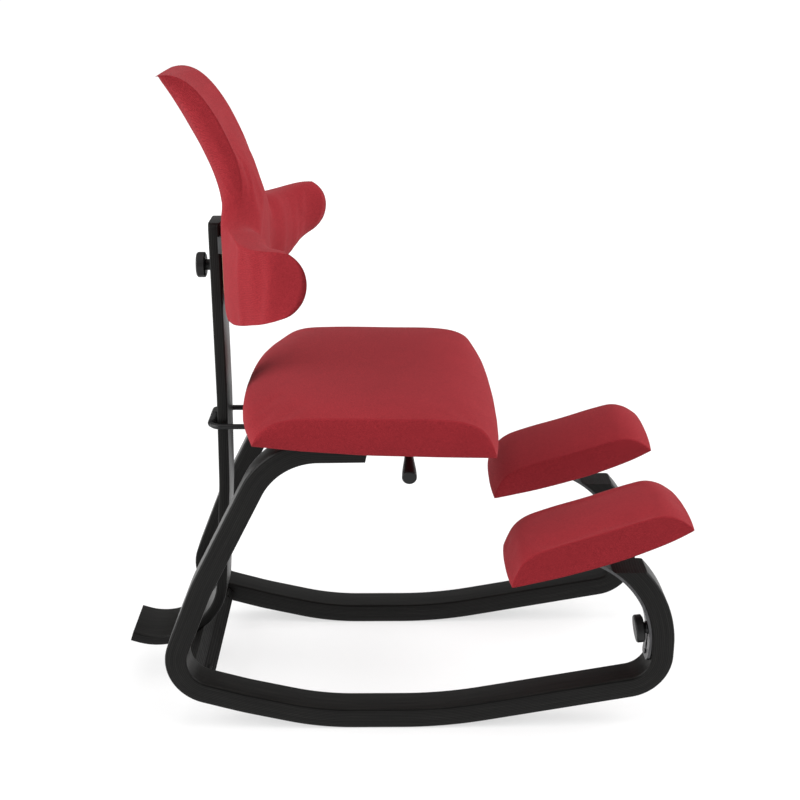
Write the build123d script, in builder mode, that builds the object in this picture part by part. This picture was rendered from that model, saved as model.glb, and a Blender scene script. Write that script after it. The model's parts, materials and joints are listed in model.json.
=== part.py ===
from build123d import *
from math import sin, cos, tan, radians, degrees, atan2, hypot, sqrt
import os

os.makedirs("parts", exist_ok=True)

# ---------------------------------------------------------------------------
# Kneeling chair on two laminated rockers.
# Millimetres.  +X = the way the sitter faces, +Y = the sitter's left, +Z = up.
# The floor is Z = 0.  "left" is the +Y side and "right" the -Y side.
# Side-view coordinates below are (x, z); XO moves x = 0 to the middle of the
# chair's length.
# ---------------------------------------------------------------------------

XO = -36.25              # shift of the side-view drawing along X

# side frames (bent laminated wood)
FRAME_T = 32.0           # laminate thickness
FRAME_W = 47.0           # laminate width
FRAME_IN = 133.5         # inner face of a side frame from the centre plane
FRAME_MID = FRAME_IN + FRAME_W / 2
FRAME_EDGE_R = 3.5       # rounded long edges
END_CUT_Z = 258.0        # height of the level cut at the front end

# front bend: centre and outer radius of the arc that carries the knee pads
BEND_C = (268.0, 137.0)
BEND_R = 178.0
BEND_RI = BEND_R - FRAME_T

# underside of the seat: slopes down to the front, steeper at the back
SEAT_UNDER = [(-194.0, 472.6), (-88.0, 461.0), (0.0, 454.6), (104.0, 451.6), (196.0, 450.0)]
SEAT_HALF_W = 218.0
BOARD_T = 10.0

# back stem (bent laminated strip)
STEM_W = 64.0
STEM_T = 16.0
STEM_TOP = 732.0
PIVOT = (-229.6, 196.0)  # flexing point of the strip, on its centre line
SLOT_W = 9.0
SLOT_Z0, SLOT_Z1 = 618.0, 716.0
FOOT_HALF_W = 45.0      # the foot widens behind the cross board

# U-shaped support rod
ROD_R = 4.0
ROD_Z = 429.5
ROD_Y = 41.0
ROD_BEND = 12.0
ROD_FRONT = 24.0
ROLLER_R = 7.2
RUN_GAP = 0.06           # running clearance, radial
SIDE_GAP = 0.3           # gap between faces of different moving bodies

# knobs
BACK_KNOB_Z = 665.4
KNOB_R = 20.5
STUD_R = 4.0
KNEE_KNOB_ANG = 7.7      # angle of the knee knobs' axis on the front bend

# knee pads
PAD_HALF_W = 71.0
PAD_ROLL = 3.1           # pads lean towards each other
STRAP_W = 36.0
STRAP_T = 4.0
STRAP_RO = BEND_RI - SIDE_GAP
STRAP_RI = STRAP_RO - STRAP_T
STRAP_A0 = -11.5         # lower end of the strap on the bend
STRAP_A1 = 62.0          # where the strap leaves the bend
SLOT_A0, SLOT_A1 = -4.6, 10.2   # ends of the strap's slot


def P(x, z):
    """Side-view drawing point to sketch point."""
    return (x + XO, z)


def PP(pts):
    return [P(x, z) for x, z in pts]


def offset_left(pts, d):
    """Polyline moved by d to the left of its direction of travel."""
    dirs = []
    for a, b in zip(pts[:-1], pts[1:]):
        L = hypot(b[0] - a[0], b[1] - a[1])
        dirs.append(((b[0] - a[0]) / L, (b[1] - a[1]) / L))
    out = [(pts[0][0] - d * dirs[0][1], pts[0][1] + d * dirs[0][0])]
    for i in range(1, len(pts) - 1):
        (ax, az), (bx, bz) = dirs[i - 1], dirs[i]
        n1 = (-az, ax)
        n2 = (-bz, bx)
        k = 1 + n1[0] * n2[0] + n1[1] * n2[1]
        out.append((pts[i][0] + d * (n1[0] + n2[0]) / k, pts[i][1] + d * (n1[1] + n2[1]) / k))
    out.append((pts[-1][0] - d * dirs[-1][1], pts[-1][1] + d * dirs[-1][0]))
    return out


def bend_pt(r, a):
    """Point on the front bend at radius r and angle a (degrees from +X)."""
    return (BEND_C[0] + r * cos(radians(a)), BEND_C[1] + r * sin(radians(a)))


def seat_z(x):
    """Height of the seat's underside at side-view x."""
    for (xa, za), (xb, zb) in zip(SEAT_UNDER[:-1], SEAT_UNDER[1:]):
        if x <= xb:
            break
    return za + (zb - za) * (x - xa) / (xb - xa)


def seat_run(x0, x1, up=0.0):
    """Points along the seat's underside from x0 to x1, moved up by up."""
    pts = [(x0, seat_z(x0) + up)] + [(x, z + up) for x, z in SEAT_UNDER if x0 < x < x1] + [(x1, seat_z(x1) + up)]
    return pts


def finish(bp, name):
    bp.part.label = name
    export_step(bp.part, f"parts/{name}.step")
    bb = bp.part.bounding_box()
    print(f"{name:24s} solids {len(bp.part.solids()):2d}  X {bb.min.X:8.1f} {bb.max.X:8.1f}  "
          f"Y {bb.min.Y:7.1f} {bb.max.Y:7.1f}  Z {bb.min.Z:7.1f} {bb.max.Z:7.1f}  vol {bp.part.volume/1000:8.1f} cm3")
    return bp.part


ALL = {}

# ---------------------------------------------------------------------------
# Side frames: one long laminated bend.  The path below is the outer face,
# from the arm's front end, back and down the rear leg, round the rear bend,
# along the rocker and up round the front bend.
# ---------------------------------------------------------------------------
a_end = 64.0
corner = BEND_R * tan(radians(a_end / 2))
t_end = (-sin(radians(a_end)), cos(radians(a_end)))
v7 = (BEND_C[0] + BEND_R, BEND_C[1] + corner)
OUTER = [
    (2.0, 460.5),
    (-143.0, 459.0),
    (-255.9, 236.4),
    (-323.5, 66.05),
    (-190.0, 27.2),
    (-75.0, 0.0),
    (111.0, 0.0),
    (446.0, 61.4),
    v7,
    (v7[0] + corner * t_end[0] * 1.02, v7[1] + corner * t_end[1] * 1.02),
]
OUTER_R = [122.0, 300.0, 71.7, 500.0, 430.0, 700.0, 70.0, BEND_R]
INNER = offset_left(OUTER, FRAME_T)
INNER_R = [r - FRAME_T for r in OUTER_R]

DOWEL_R = 5.0
DOWELS = [(-246.0, 62.0), (-268.0, 73.0)]   # in the cross board's ends
SEAT_BOLT_X = [-46.0, -14.0]
INSERT_R = 6.0
INSERT_L = 16.0


def knee_axis_plane(side):
    """Plane on the knee knob's axis; its normal points away from the bend's centre."""
    a = radians(KNEE_KNOB_ANG)
    o = (BEND_C[0] + XO, side * FRAME_MID, BEND_C[1])
    return Plane(origin=o, x_dir=(0, 1, 0), z_dir=(cos(a), 0, sin(a)))


for side, name in ((1, "side_frame_left"), (-1, "side_frame_right")):
    off = -(FRAME_IN + FRAME_W) if side > 0 else FRAME_IN
    with BuildPart() as fr:
        with BuildSketch(Plane.XZ.offset(off)):
            with BuildLine():
                o = FilletPolyline(*PP(OUTER), radius=OUTER_R)
                i = FilletPolyline(*PP(INNER), radius=INNER_R)
                Line(o @ 0, i @ 0)
                Line(o @ 1, i @ 1)
            make_face()
        extrude(amount=FRAME_W)
        # rounded long edges
        long_edges = (fr.faces().filter_by(Axis.Y).sort_by(Axis.Y)[-1].edges()
                      + fr.faces().filter_by(Axis.Y).sort_by(Axis.Y)[0].edges())
        long_edges = long_edges.filter_by(lambda e: abs(e.length - FRAME_T) > 1.0)
        fillet(long_edges, radius=FRAME_EDGE_R)
        # level cut of the front end, and the arm's top planed to the seat's slope
        with BuildSketch(Plane.XZ.offset(off)):
            with BuildLine():
                Polyline(*PP([(250, END_CUT_Z), (470, END_CUT_Z), (470, 400), (250, 400)]), close=True)
            make_face()
        extrude(amount=FRAME_W, mode=Mode.SUBTRACT)
        with BuildSketch(Plane.XZ.offset(off)):
            with BuildLine():
                Polyline(*PP(seat_run(-190, 40) + [(40, 500), (-190, 500)]), close=True)
            make_face()
        extrude(amount=FRAME_W, mode=Mode.SUBTRACT)
        # slanted front end of the arm
        with BuildSketch(Plane.XZ.offset(off)):
            with BuildLine():
                Polyline(*PP([(-5, 420), (2, 458), (40, 458), (40, 420)]), close=True)
            make_face()
        extrude(amount=FRAME_W, mode=Mode.SUBTRACT)
        # dowel holes for the cross board, drilled from the inner face
        for dx, dz in DOWELS:
            with BuildSketch(Plane.XZ.offset(-side * FRAME_IN)):
                with Locations(P(dx, dz)):
                    Circle(DOWEL_R)
            extrude(amount=-side * 25.0, mode=Mode.SUBTRACT)
        # counterbored holes for the seat bolts, from below
        for bx in SEAT_BOLT_X:
            with Locations((bx + XO, side * FRAME_MID, 440)):
                Cylinder(4.0, 60, mode=Mode.SUBTRACT)
            with Locations((bx + XO, side * FRAME_MID, 420)):
                Cylinder(8.0, 25, mode=Mode.SUBTRACT)
        # hole for the knee knob's threaded insert
        with BuildSketch(knee_axis_plane(side)):
            Circle(INSERT_R)
        extrude(amount=BEND_RI + INSERT_L, mode=Mode.SUBTRACT)
        with BuildSketch(knee_axis_plane(side)):
            Circle(STUD_R + 0.5)
        extrude(amount=BEND_RI + 24.0, mode=Mode.SUBTRACT)
    ALL[name] = finish(fr, name)

# ---------------------------------------------------------------------------
# Back stem: one bent strip.  The path is its front face, which becomes the
# underside of the anti-tip foot behind the chair.
# ---------------------------------------------------------------------------
STRIP = [
    (-209.0, STEM_TOP),
    (-209.0, 470.0),
    (-212.0, 330.0),
    (-221.0, 205.0),
    (-228.8, 97.2),
    (-332.7, 55.3),
    (-378.0, 70.0),
]
STRIP_R = [600.0, 600.0, 900.0, 100.0, 100.0]
STRIP_IN = offset_left(STRIP, -STEM_T)
STRIP_IN_R = [r - STEM_T for r in STRIP_R]


def strip_face(plane):
    with BuildSketch(plane, mode=Mode.PRIVATE) as s:
        with BuildLine():
            o = FilletPolyline(*PP(STRIP), radius=STRIP_R)
            i = FilletPolyline(*PP(STRIP_IN), radius=STRIP_IN_R)
            Line(o @ 0, i @ 0)
            Line(o @ 1, i @ 1)
        make_face()
    return s.sketch


# where the strip sits on the cross board
BOLT_P = (-277.0, 78.6)          # on the strip's lower face
BOLT_A = 27.0                    # slope of the strip there
BOLT_Y = 17.0


def bolt_plane(y):
    a = radians(BOLT_A)
    return Plane(origin=(BOLT_P[0] + XO, y, BOLT_P[1]), x_dir=(cos(a), 0, sin(a)),
                 z_dir=(-sin(a), 0, cos(a)))


def strip_solid(half_w, edge_r=0.0):
    with BuildPart(mode=Mode.PRIVATE) as s:
        with BuildSketch(Plane.XZ.offset(-half_w)):
            add(strip_face(Plane.XZ.offset(-half_w)))
        extrude(amount=2 * half_w)
        if edge_r:
            edges = (s.faces().filter_by(Axis.Y).sort_by(Axis.Y)[-1].edges()
                     + s.faces().filter_by(Axis.Y).sort_by(Axis.Y)[0].edges())
            fillet(edges.filter_by(lambda e: abs(e.length - STEM_T) > 0.5), radius=edge_r)
    return s.part


# upper part, which leans with the sitter's back: everything above the flexing line,
# ending below in a half-round heel
pv = (PIVOT[0] + XO, PIVOT[1])
HEEL = STEM_T / 2 - 0.05
with BuildPart() as stem:
    add(strip_solid(STEM_W / 2, 2.5))
    with Locations((pv[0], 0, PIVOT[1] - 250)):
        Box(400, 100, 500, mode=Mode.SUBTRACT)
    with BuildSketch(Plane.XZ.offset(-STEM_W / 2)):
        with Locations(pv):
            Circle(HEEL)
    extrude(amount=STEM_W)
    # round the upper corners
    with BuildSketch(Plane.YZ.offset(-240 + XO)):
        with Locations((0, STEM_TOP - 300)):
            RectangleRounded(STEM_W, 600, 8)
        with Locations((0, 300)):
            Rectangle(STEM_W, 500)
    extrude(amount=60, mode=Mode.INTERSECT)
    # height slot
    with BuildSketch(Plane.YZ.offset(-240 + XO)):
        with Locations((0, (SLOT_Z0 + SLOT_Z1) / 2)):
            SlotOverall(SLOT_Z1 - SLOT_Z0, SLOT_W, rotation=90)
    extrude(amount=60, mode=Mode.SUBTRACT)
ALL["back_stem"] = finish(stem, "back_stem")

# lower part: the bent foot that is bolted to the cross board
FLARE = [(-262.0, 32.0), (-300.0, FOOT_HALF_W), (-390.0, FOOT_HALF_W)]
with BuildPart() as tail:
    with BuildSketch(Plane.XY):
        with BuildLine():
            Polyline(*PP(FLARE), *PP([(fx, -fy) for fx, fy in reversed(FLARE)]), close=True)
        make_face()
    extrude(amount=150)
    add(strip_solid(FOOT_HALF_W), mode=Mode.INTERSECT)
with BuildPart() as foot:
    add(strip_solid(STEM_W / 2, 2.5))
    add(tail.part)
    with Locations((pv[0], 0, PIVOT[1] + 350)):
        Box(400, 100, 700, mode=Mode.SUBTRACT)
    with BuildSketch(Plane.XZ.offset(-50)):
        with Locations(pv):
            Circle(STEM_T / 2 + SIDE_GAP)
    extrude(amount=100, mode=Mode.SUBTRACT)
    for y in (-BOLT_Y, BOLT_Y):
        with BuildSketch(bolt_plane(y).offset(-5)):
            Circle(4.0)
        extrude(amount=60, mode=Mode.SUBTRACT)
        with BuildSketch(bolt_plane(y).offset(STEM_T - 3.0)):
            Circle(7.5)
        extrude(amount=30, mode=Mode.SUBTRACT)
ALL["stem_foot"] = finish(foot, "stem_foot")

# ---------------------------------------------------------------------------
# Cross board between the side frames, cradling the strip
# ---------------------------------------------------------------------------
BOARD = [(-240, 43), (-236, 59), (-252, 71), (-266, 90), (-288, 81), (-284, 66), (-262, 51)]
with BuildPart() as board:
    with BuildSketch(Plane.XZ.offset(-FRAME_IN)):
        with BuildLine():
            Polyline(*PP(BOARD), close=True)
        make_face()
    extrude(amount=2 * FRAME_IN)
    add(strip_solid(FRAME_IN + 5), mode=Mode.SUBTRACT)
    for s in (1, -1):
        for dx, dz in DOWELS:
            with BuildSketch(Plane.XZ.offset(-s * FRAME_IN)):
                with Locations(P(dx, dz)):
                    Circle(DOWEL_R)
            extrude(amount=s * 25.0, mode=Mode.SUBTRACT)
    for y in (-BOLT_Y, BOLT_Y):
        with BuildSketch(bolt_plane(y).offset(-12)):
            Circle(4.0)
        extrude(amount=40, mode=Mode.SUBTRACT)
ALL["cross_board"] = finish(board, "cross_board")

with BuildPart() as dowels:
    for s in (1, -1):
        for dx, dz in DOWELS:
            with BuildSketch(Plane.XZ.offset(-s * FRAME_IN)):
                with Locations(P(dx, dz)):
                    Circle(DOWEL_R)
            extrude(amount=25.0, both=True)
ALL["board_dowels"] = finish(dowels, "board_dowels")

with BuildPart() as sbolts:
    for y in (-BOLT_Y, BOLT_Y):
        with BuildSketch(bolt_plane(y).offset(-12)):
            Circle(4.0)
        extrude(amount=12 + STEM_T - 3.0)
        with BuildSketch(bolt_plane(y).offset(STEM_T - 3.0)):
            Circle(6.5)
        extrude(amount=5.0)
        with BuildSketch(bolt_plane(y).offset(STEM_T + 2.0)):
            RegularPolygon(2.9, 6)
        extrude(amount=-3.0, mode=Mode.SUBTRACT)
ALL["stem_bolts"] = finish(sbolts, "stem_bolts")

# ---------------------------------------------------------------------------
# Seat: plywood board let into the foam, bolted to the arms
# ---------------------------------------------------------------------------
HOUSE_X0, HOUSE_X1 = -72.0, 42.0
HOUSE_HW = 56.0
SEAT_BOARD_PLAN = [(-141, -198), (158, -198), (166, -90), (166, 90), (158, 198), (-141, 198), (-162, 120), (-171, 0), (-162, -120)]
with BuildPart() as sboard:
    with BuildSketch(Plane.XZ.offset(-198)):
        with BuildLine():
            Polyline(*PP(seat_run(-172, 166) + seat_run(-172, 166, BOARD_T)[::-1]), close=True)
        make_face()
    extrude(amount=396)
    with BuildSketch(Plane.XY.offset(430)):
        with BuildLine():
            Polyline(*[(x + XO, y) for x, y in SEAT_BOARD_PLAN], close=True)
        make_face()
    extrude(amount=80, mode=Mode.INTERSECT)
    for s in (1, -1):
        for bx in SEAT_BOLT_X:
            top = seat_z(bx) + 7.0
            with Locations((bx + XO, s * FRAME_MID, top - 10.0)):
                Cylinder(4.0, 20, mode=Mode.SUBTRACT)
ALL["seat_board"] = finish(sboard, "seat_board")

SEAT_SIDE = [(-183, 474), (-180, 484), (-170, 494), (-150, 502), (-113, 508), (-63, 510), (0, 509.5), (60, 508.5),
             (104, 507), (138, 502), (162, 491), (180, 472), (187, 455)]
with BuildPart() as seat:
    with BuildSketch(Plane.XZ.offset(-SEAT_HALF_W)):
        with BuildLine():
            Spline(*PP(SEAT_SIDE))
            Polyline(*PP([SEAT_SIDE[0], (-183, seat_z(-183))] + seat_run(-183, 187)[1:] + [SEAT_SIDE[-1]]))
        make_face()
    extrude(amount=2 * SEAT_HALF_W)
    # plan outline: bowed front and rear edges
    with BuildSketch(Plane.XY.offset(430)):
        with BuildLine():
            Spline((-152 + XO, -SEAT_HALF_W), (-167 + XO, -170), (-179 + XO, -90), (-183 + XO, 0), (-179 + XO, 90), (-167 + XO, 170), (-152 + XO, SEAT_HALF_W))
            Spline((175 + XO, -SEAT_HALF_W), (183 + XO, -150), (187 + XO, 0), (183 + XO, 150), (175 + XO, SEAT_HALF_W))
            Line((-152 + XO, -SEAT_HALF_W), (175 + XO, -SEAT_HALF_W))
            Line((-152 + XO, SEAT_HALF_W), (175 + XO, SEAT_HALF_W))
        make_face()
    extrude(amount=120, mode=Mode.INTERSECT)
    # slight crown from side to side, with rounded upper edges
    with BuildSketch(Plane.YZ.offset(-260)):
        with BuildLine():
            Polyline((-SEAT_HALF_W - 2, 494), (-SEAT_HALF_W - 2, 430), (SEAT_HALF_W + 2, 430), (SEAT_HALF_W + 2, 494))
            Spline((-SEAT_HALF_W - 2, 494), (-SEAT_HALF_W + 8, 504), (-120, 509), (0, 510.5), (120, 509), (SEAT_HALF_W - 8, 504), (SEAT_HALF_W + 2, 494))
        make_face()
    extrude(amount=520, mode=Mode.INTERSECT)
    # pocket for the board, open below
    with BuildPart(mode=Mode.PRIVATE) as pocket:
        with BuildSketch(Plane.XZ.offset(-198)):
            with BuildLine():
                Polyline(*PP([(-172, 440), (166, 440)] + seat_run(-172, 166, BOARD_T)[::-1]), close=True)
            make_face()
        extrude(amount=396)
        with BuildSketch(Plane.XY.offset(430)):
            with BuildLine():
                Polyline(*[(x + XO, y) for x, y in SEAT_BOARD_PLAN], close=True)
            make_face()
        extrude(amount=80, mode=Mode.INTERSECT)
    add(pocket.part, mode=Mode.SUBTRACT)
ALL["seat_cushion"] = finish(seat, "seat_cushion")

with BuildPart() as seatbolts:
    for s in (1, -1):
        for bx in SEAT_BOLT_X:
            top = seat_z(bx) + 7.0
            with Locations((bx + XO, s * FRAME_MID, (top + 432.5) / 2)):
                Cylinder(4.0, top - 432.5)
            with Locations((bx + XO, s * FRAME_MID, 430.0)):
                Cylinder(7.0, 5.0)
            with BuildSketch(Plane.XY.offset(427.5)):
                with Locations((bx + XO, s * FRAME_MID)):
                    RegularPolygon(2.9, 6)
            extrude(amount=3.0, mode=Mode.SUBTRACT)
ALL["seat_bolts"] = finish(seatbolts, "seat_bolts")

# ---------------------------------------------------------------------------
# Rod clamp under the seat: housing with two guide bores, and the lever with its
# pivot pin
# ---------------------------------------------------------------------------
LEV_X = 58.0
LEV_PIVOT = (LEV_X, -30.0, 427.6)
LEV_SLOPE = 9.2
HUB_R = 9.0
PIN_R = 3.0
HOUSE_Z0 = 414.0
EARS = [(42.0, 48.6), (67.4, 73.0)]
HOUSE_SCREWS = [(-60.0, 50.0), (-60.0, -50.0), (28.0, 50.0), (28.0, -50.0)]

with BuildPart() as house:
    # main block, its top planed to the seat's slope
    with BuildSketch(Plane.XZ.offset(-HOUSE_HW)):
        with BuildLine():
            Polyline(*PP([(HOUSE_X0, HOUSE_Z0 + 6), (HOUSE_X0 + 6, HOUSE_Z0), (HOUSE_X1, HOUSE_Z0)]
                         + seat_run(HOUSE_X0, HOUSE_X1)[::-1]), close=True)
        make_face()
    extrude(amount=2 * HOUSE_HW)
    # top plate that reaches forward over the lever
    with BuildSketch(Plane.XZ.offset(5)):
        with BuildLine():
            Polyline(*PP([(36, seat_z(36) - 4), (EARS[1][1], seat_z(EARS[1][1]) - 4), (EARS[1][1], seat_z(EARS[1][1])), (36, seat_z(36))]), close=True)
        make_face()
    extrude(amount=HOUSE_HW - 5)
    # two ears that carry the lever's pin
    for x0, x1 in EARS:
        with BuildSketch(Plane.YZ.offset(x0 + XO)):
            with BuildLine():
                Polyline((-16, 451), (-16, 424), (-23, 417), (-37, 417), (-44, 424), (-44, 451), close=True)
            make_face()
        extrude(amount=x1 - x0)
    with BuildSketch(Plane.XZ.offset(-HOUSE_HW - 5)):
        with BuildLine():
            Polyline(*PP(seat_run(-100, 100) + [(100, 480), (-100, 480)]), close=True)
        make_face()
    extrude(amount=2 * HOUSE_HW + 10, mode=Mode.SUBTRACT)
    # guide bores
    for y in (ROD_Y, -ROD_Y):
        with BuildSketch(Plane.YZ.offset(HOUSE_X0 - 5 + XO)):
            with Locations((y, ROD_Z)):
                Circle(ROD_R + RUN_GAP)
        extrude(amount=HOUSE_X1 - HOUSE_X0 + 10, mode=Mode.SUBTRACT)
    # pin bore
    with BuildSketch(Plane.YZ.offset(EARS[0][0] - 6 + XO)):
        with Locations((LEV_PIVOT[1], LEV_PIVOT[2])):
            Circle(PIN_R)
    extrude(amount=60, mode=Mode.SUBTRACT)
    for sx, sy in HOUSE_SCREWS:
        with Locations((sx + XO, sy, 430)):
            Cylinder(2.5, 80, mode=Mode.SUBTRACT)
ALL["rod_clamp_housing"] = finish(house, "rod_clamp_housing")

with BuildPart() as hscrews:
    for sx, sy in HOUSE_SCREWS:
        top = seat_z(sx) - 0.2
        with Locations((sx + XO, sy, (top + HOUSE_Z0) / 2)):
            Cylinder(2.5, top - HOUSE_Z0)
        with Locations((sx + XO, sy, HOUSE_Z0 - 1.5)):
            Cylinder(4.5, 3.0)
        with BuildSketch(Plane.XY.offset(HOUSE_Z0 - 3.0)):
            with Locations((sx + XO, sy)):
                RegularPolygon(2.0, 6)
        extrude(amount=2.0, mode=Mode.SUBTRACT)
ALL["housing_screws"] = finish(hscrews, "housing_screws")

with BuildPart() as pin:
    with BuildSketch(Plane.YZ.offset(EARS[0][0] - 2 + XO)):
        with Locations((LEV_PIVOT[1], LEV_PIVOT[2])):
            Circle(PIN_R)
    extrude(amount=EARS[1][1] - EARS[0][0] + 2)
    with BuildSketch(Plane.YZ.offset(EARS[1][1] + XO)):
        with Locations((LEV_PIVOT[1], LEV_PIVOT[2])):
            Circle(4.5)
    extrude(amount=1.6)
ALL["lever_pin"] = finish(pin, "lever_pin")


def lever_plane(dist):
    """Plane across the lever, dist along it from the pivot, normal pointing outwards."""
    a = radians(LEV_SLOPE)
    return Plane(origin=(LEV_PIVOT[0] + XO, LEV_PIVOT[1] - dist * cos(a), LEV_PIVOT[2] - dist * sin(a)),
                 x_dir=(1, 0, 0), z_dir=(0, -cos(a), -sin(a)))


GRIP_0, GRIP_1 = 88.0, 148.0
with BuildPart() as lever:
    with BuildSketch(Plane.YZ.offset(LEV_X - 9.0 + XO)):
        with Locations((LEV_PIVOT[1], LEV_PIVOT[2])):
            Circle(HUB_R)
        # cam lobe
        with Locations((LEV_PIVOT[1] + 3.0, LEV_PIVOT[2] + 3.0)):
            Circle(HUB_R - 1.0)
    extrude(amount=18.0)
    with BuildSketch(lever_plane(0)):
        Circle(4.5)
    extrude(amount=GRIP_0 + 30)
    with BuildSketch(Plane.YZ.offset(LEV_X - 12 + XO)):
        with Locations((LEV_PIVOT[1], LEV_PIVOT[2])):
            Circle(PIN_R + RUN_GAP)
    extrude(amount=24, mode=Mode.SUBTRACT)
ALL["release_lever"] = finish(lever, "release_lever")

with BuildPart() as grip:
    with BuildSketch(lever_plane(GRIP_0)) as g0:
        Circle(6.4)
    with BuildSketch(lever_plane(GRIP_0 + 26)) as g1:
        Circle(8.6)
    with BuildSketch(lever_plane(GRIP_0 + 46)) as g2:
        Circle(10.2)
    with BuildSketch(lever_plane(GRIP_1)) as g3:
        Circle(10.4)
    loft()
    fillet(grip.faces().sort_by(Axis.Y)[0].edges(), radius=2.4)
    with BuildSketch(lever_plane(GRIP_0 - 2)):
        Circle(4.5)
    extrude(amount=32, mode=Mode.SUBTRACT)
ALL["lever_grip"] = finish(grip, "lever_grip")

# ---------------------------------------------------------------------------
# U-shaped rod and its roller behind the stem
# ---------------------------------------------------------------------------
STEM_REAR_X = -226.15      # rear face of the stem at the rod's height
ROD_REAR = STEM_REAR_X - SIDE_GAP - ROLLER_R
with BuildPart() as rod:
    with BuildLine(Plane.XY.offset(ROD_Z)) as rp:
        FilletPolyline((ROD_FRONT + XO, -ROD_Y), (ROD_REAR + XO, -ROD_Y), (ROD_REAR + XO, ROD_Y), (ROD_FRONT + XO, ROD_Y),
                       radius=ROD_BEND)
    with BuildSketch(Plane.YZ.offset(ROD_FRONT + XO)):
        with Locations((-ROD_Y, ROD_Z)):
            Circle(ROD_R)
    sweep()
    fillet(rod.edges().filter_by(GeomType.CIRCLE).group_by(Axis.X)[-1], radius=0.8)
ALL["u_rod"] = finish(rod, "u_rod")

ROLL_HALF = ROD_Y - ROD_BEND - 1.0
with BuildPart() as roller:
    with BuildSketch(Plane(origin=(ROD_REAR + XO, 0, ROD_Z), x_dir=(0, 1, 0), z_dir=(0, 0, 1))):
        with BuildLine():
            Polyline((-ROLL_HALF, ROD_R + RUN_GAP), (-ROLL_HALF, 6.2), (-ROLL_HALF + 2, ROLLER_R), (-5, ROLLER_R), (-2.5, 5.6),
                     (2.5, 5.6), (5, ROLLER_R), (ROLL_HALF - 2, ROLLER_R), (ROLL_HALF, 6.2), (ROLL_HALF, ROD_R + RUN_GAP), close=True)
        make_face()
    revolve(axis=Axis((ROD_REAR + XO, 0, ROD_Z), (0, 1, 0)))
ALL["rod_roller"] = finish(roller, "rod_roller")

# ---------------------------------------------------------------------------
# Backrest carriage: steel bracket on the stem's front face, plywood board, cushion
# ---------------------------------------------------------------------------
STEM_FRONT = -209.0
BRK_X0 = STEM_FRONT + SIDE_GAP
BRK_T = 8.0
BBOARD_X0 = BRK_X0 + BRK_T
BBOARD_T = 10.0
BRK_Z0, BRK_Z1 = 634.0, 715.0
BRK_HEAD_Z = 688.0        # the bracket is wide above this height
BRK_SCREWS = [(11.0, 643.0), (-11.0, 643.0), (24.0, 701.5), (-24.0, 701.5)]
STUD_END = BBOARD_X0 + 8.0
with BuildPart() as brk:
    with BuildSketch(Plane.YZ.offset(BRK_X0 + XO)):
        with Locations((0, (BRK_Z0 + BRK_HEAD_Z + 4) / 2)):
            RectangleRounded(36, BRK_HEAD_Z + 4 - BRK_Z0, 5)
        with Locations((0, (BRK_HEAD_Z + BRK_Z1) / 2)):
            RectangleRounded(68, BRK_Z1 - BRK_HEAD_Z, 2)
    extrude(amount=BRK_T)
    # low lips either side of the stem keep the backrest square to it
    for s in (1, -1):
        with BuildSketch(Plane.XY.offset(BRK_HEAD_Z + 1.5)):
            with Locations((BRK_X0 - 1.2 + XO, s * (STEM_W / 2 + 0.3 + 0.8))):
                Rectangle(3.4, 1.6)
        extrude(amount=BRK_Z1 - BRK_HEAD_Z - 3)
    with BuildSketch(Plane.YZ.offset(BRK_X0 - 2 + XO)):
        with Locations((0, BACK_KNOB_Z)):
            Circle(STUD_R + RUN_GAP)
    extrude(amount=20, mode=Mode.SUBTRACT)
    with BuildSketch(Plane.YZ.offset(BRK_X0 - 2 + XO)):
        with Locations(*BRK_SCREWS):
            Circle(2.5)
    extrude(amount=20, mode=Mode.SUBTRACT)
ALL["backrest_bracket"] = finish(brk, "backrest_bracket")

with BuildPart() as bbd:
    with BuildSketch(Plane.YZ.offset(BBOARD_X0 + XO)):
        with Locations((0, 680)):
            RectangleRounded(150, 96, 18)
        with Locations((0, 770)):
            RectangleRounded(92, 130, 18)
    extrude(amount=BBOARD_T)
    with BuildSketch(Plane.YZ.offset(BBOARD_X0 - 1 + XO)):
        with Locations((0, BACK_KNOB_Z)):
            Circle(STUD_R + 1.0)
    extrude(amount=BBOARD_T + 2, mode=Mode.SUBTRACT)
    with BuildSketch(Plane.YZ.offset(BBOARD_X0 - 1 + XO)):
        with Locations(*BRK_SCREWS):
            Circle(2.5)
    extrude(amount=BBOARD_T, mode=Mode.SUBTRACT)
ALL["backrest_board"] = finish(bbd, "backrest_board")

with BuildPart() as bscr:
    with BuildSketch(Plane.YZ.offset(BRK_X0 + 1.6 + XO)):
        with Locations(*BRK_SCREWS):
            Circle(2.5)
    extrude(amount=BRK_T - 1.6 + BBOARD_T - 1.0)
ALL["bracket_screws"] = finish(bscr, "bracket_screws")

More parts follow.
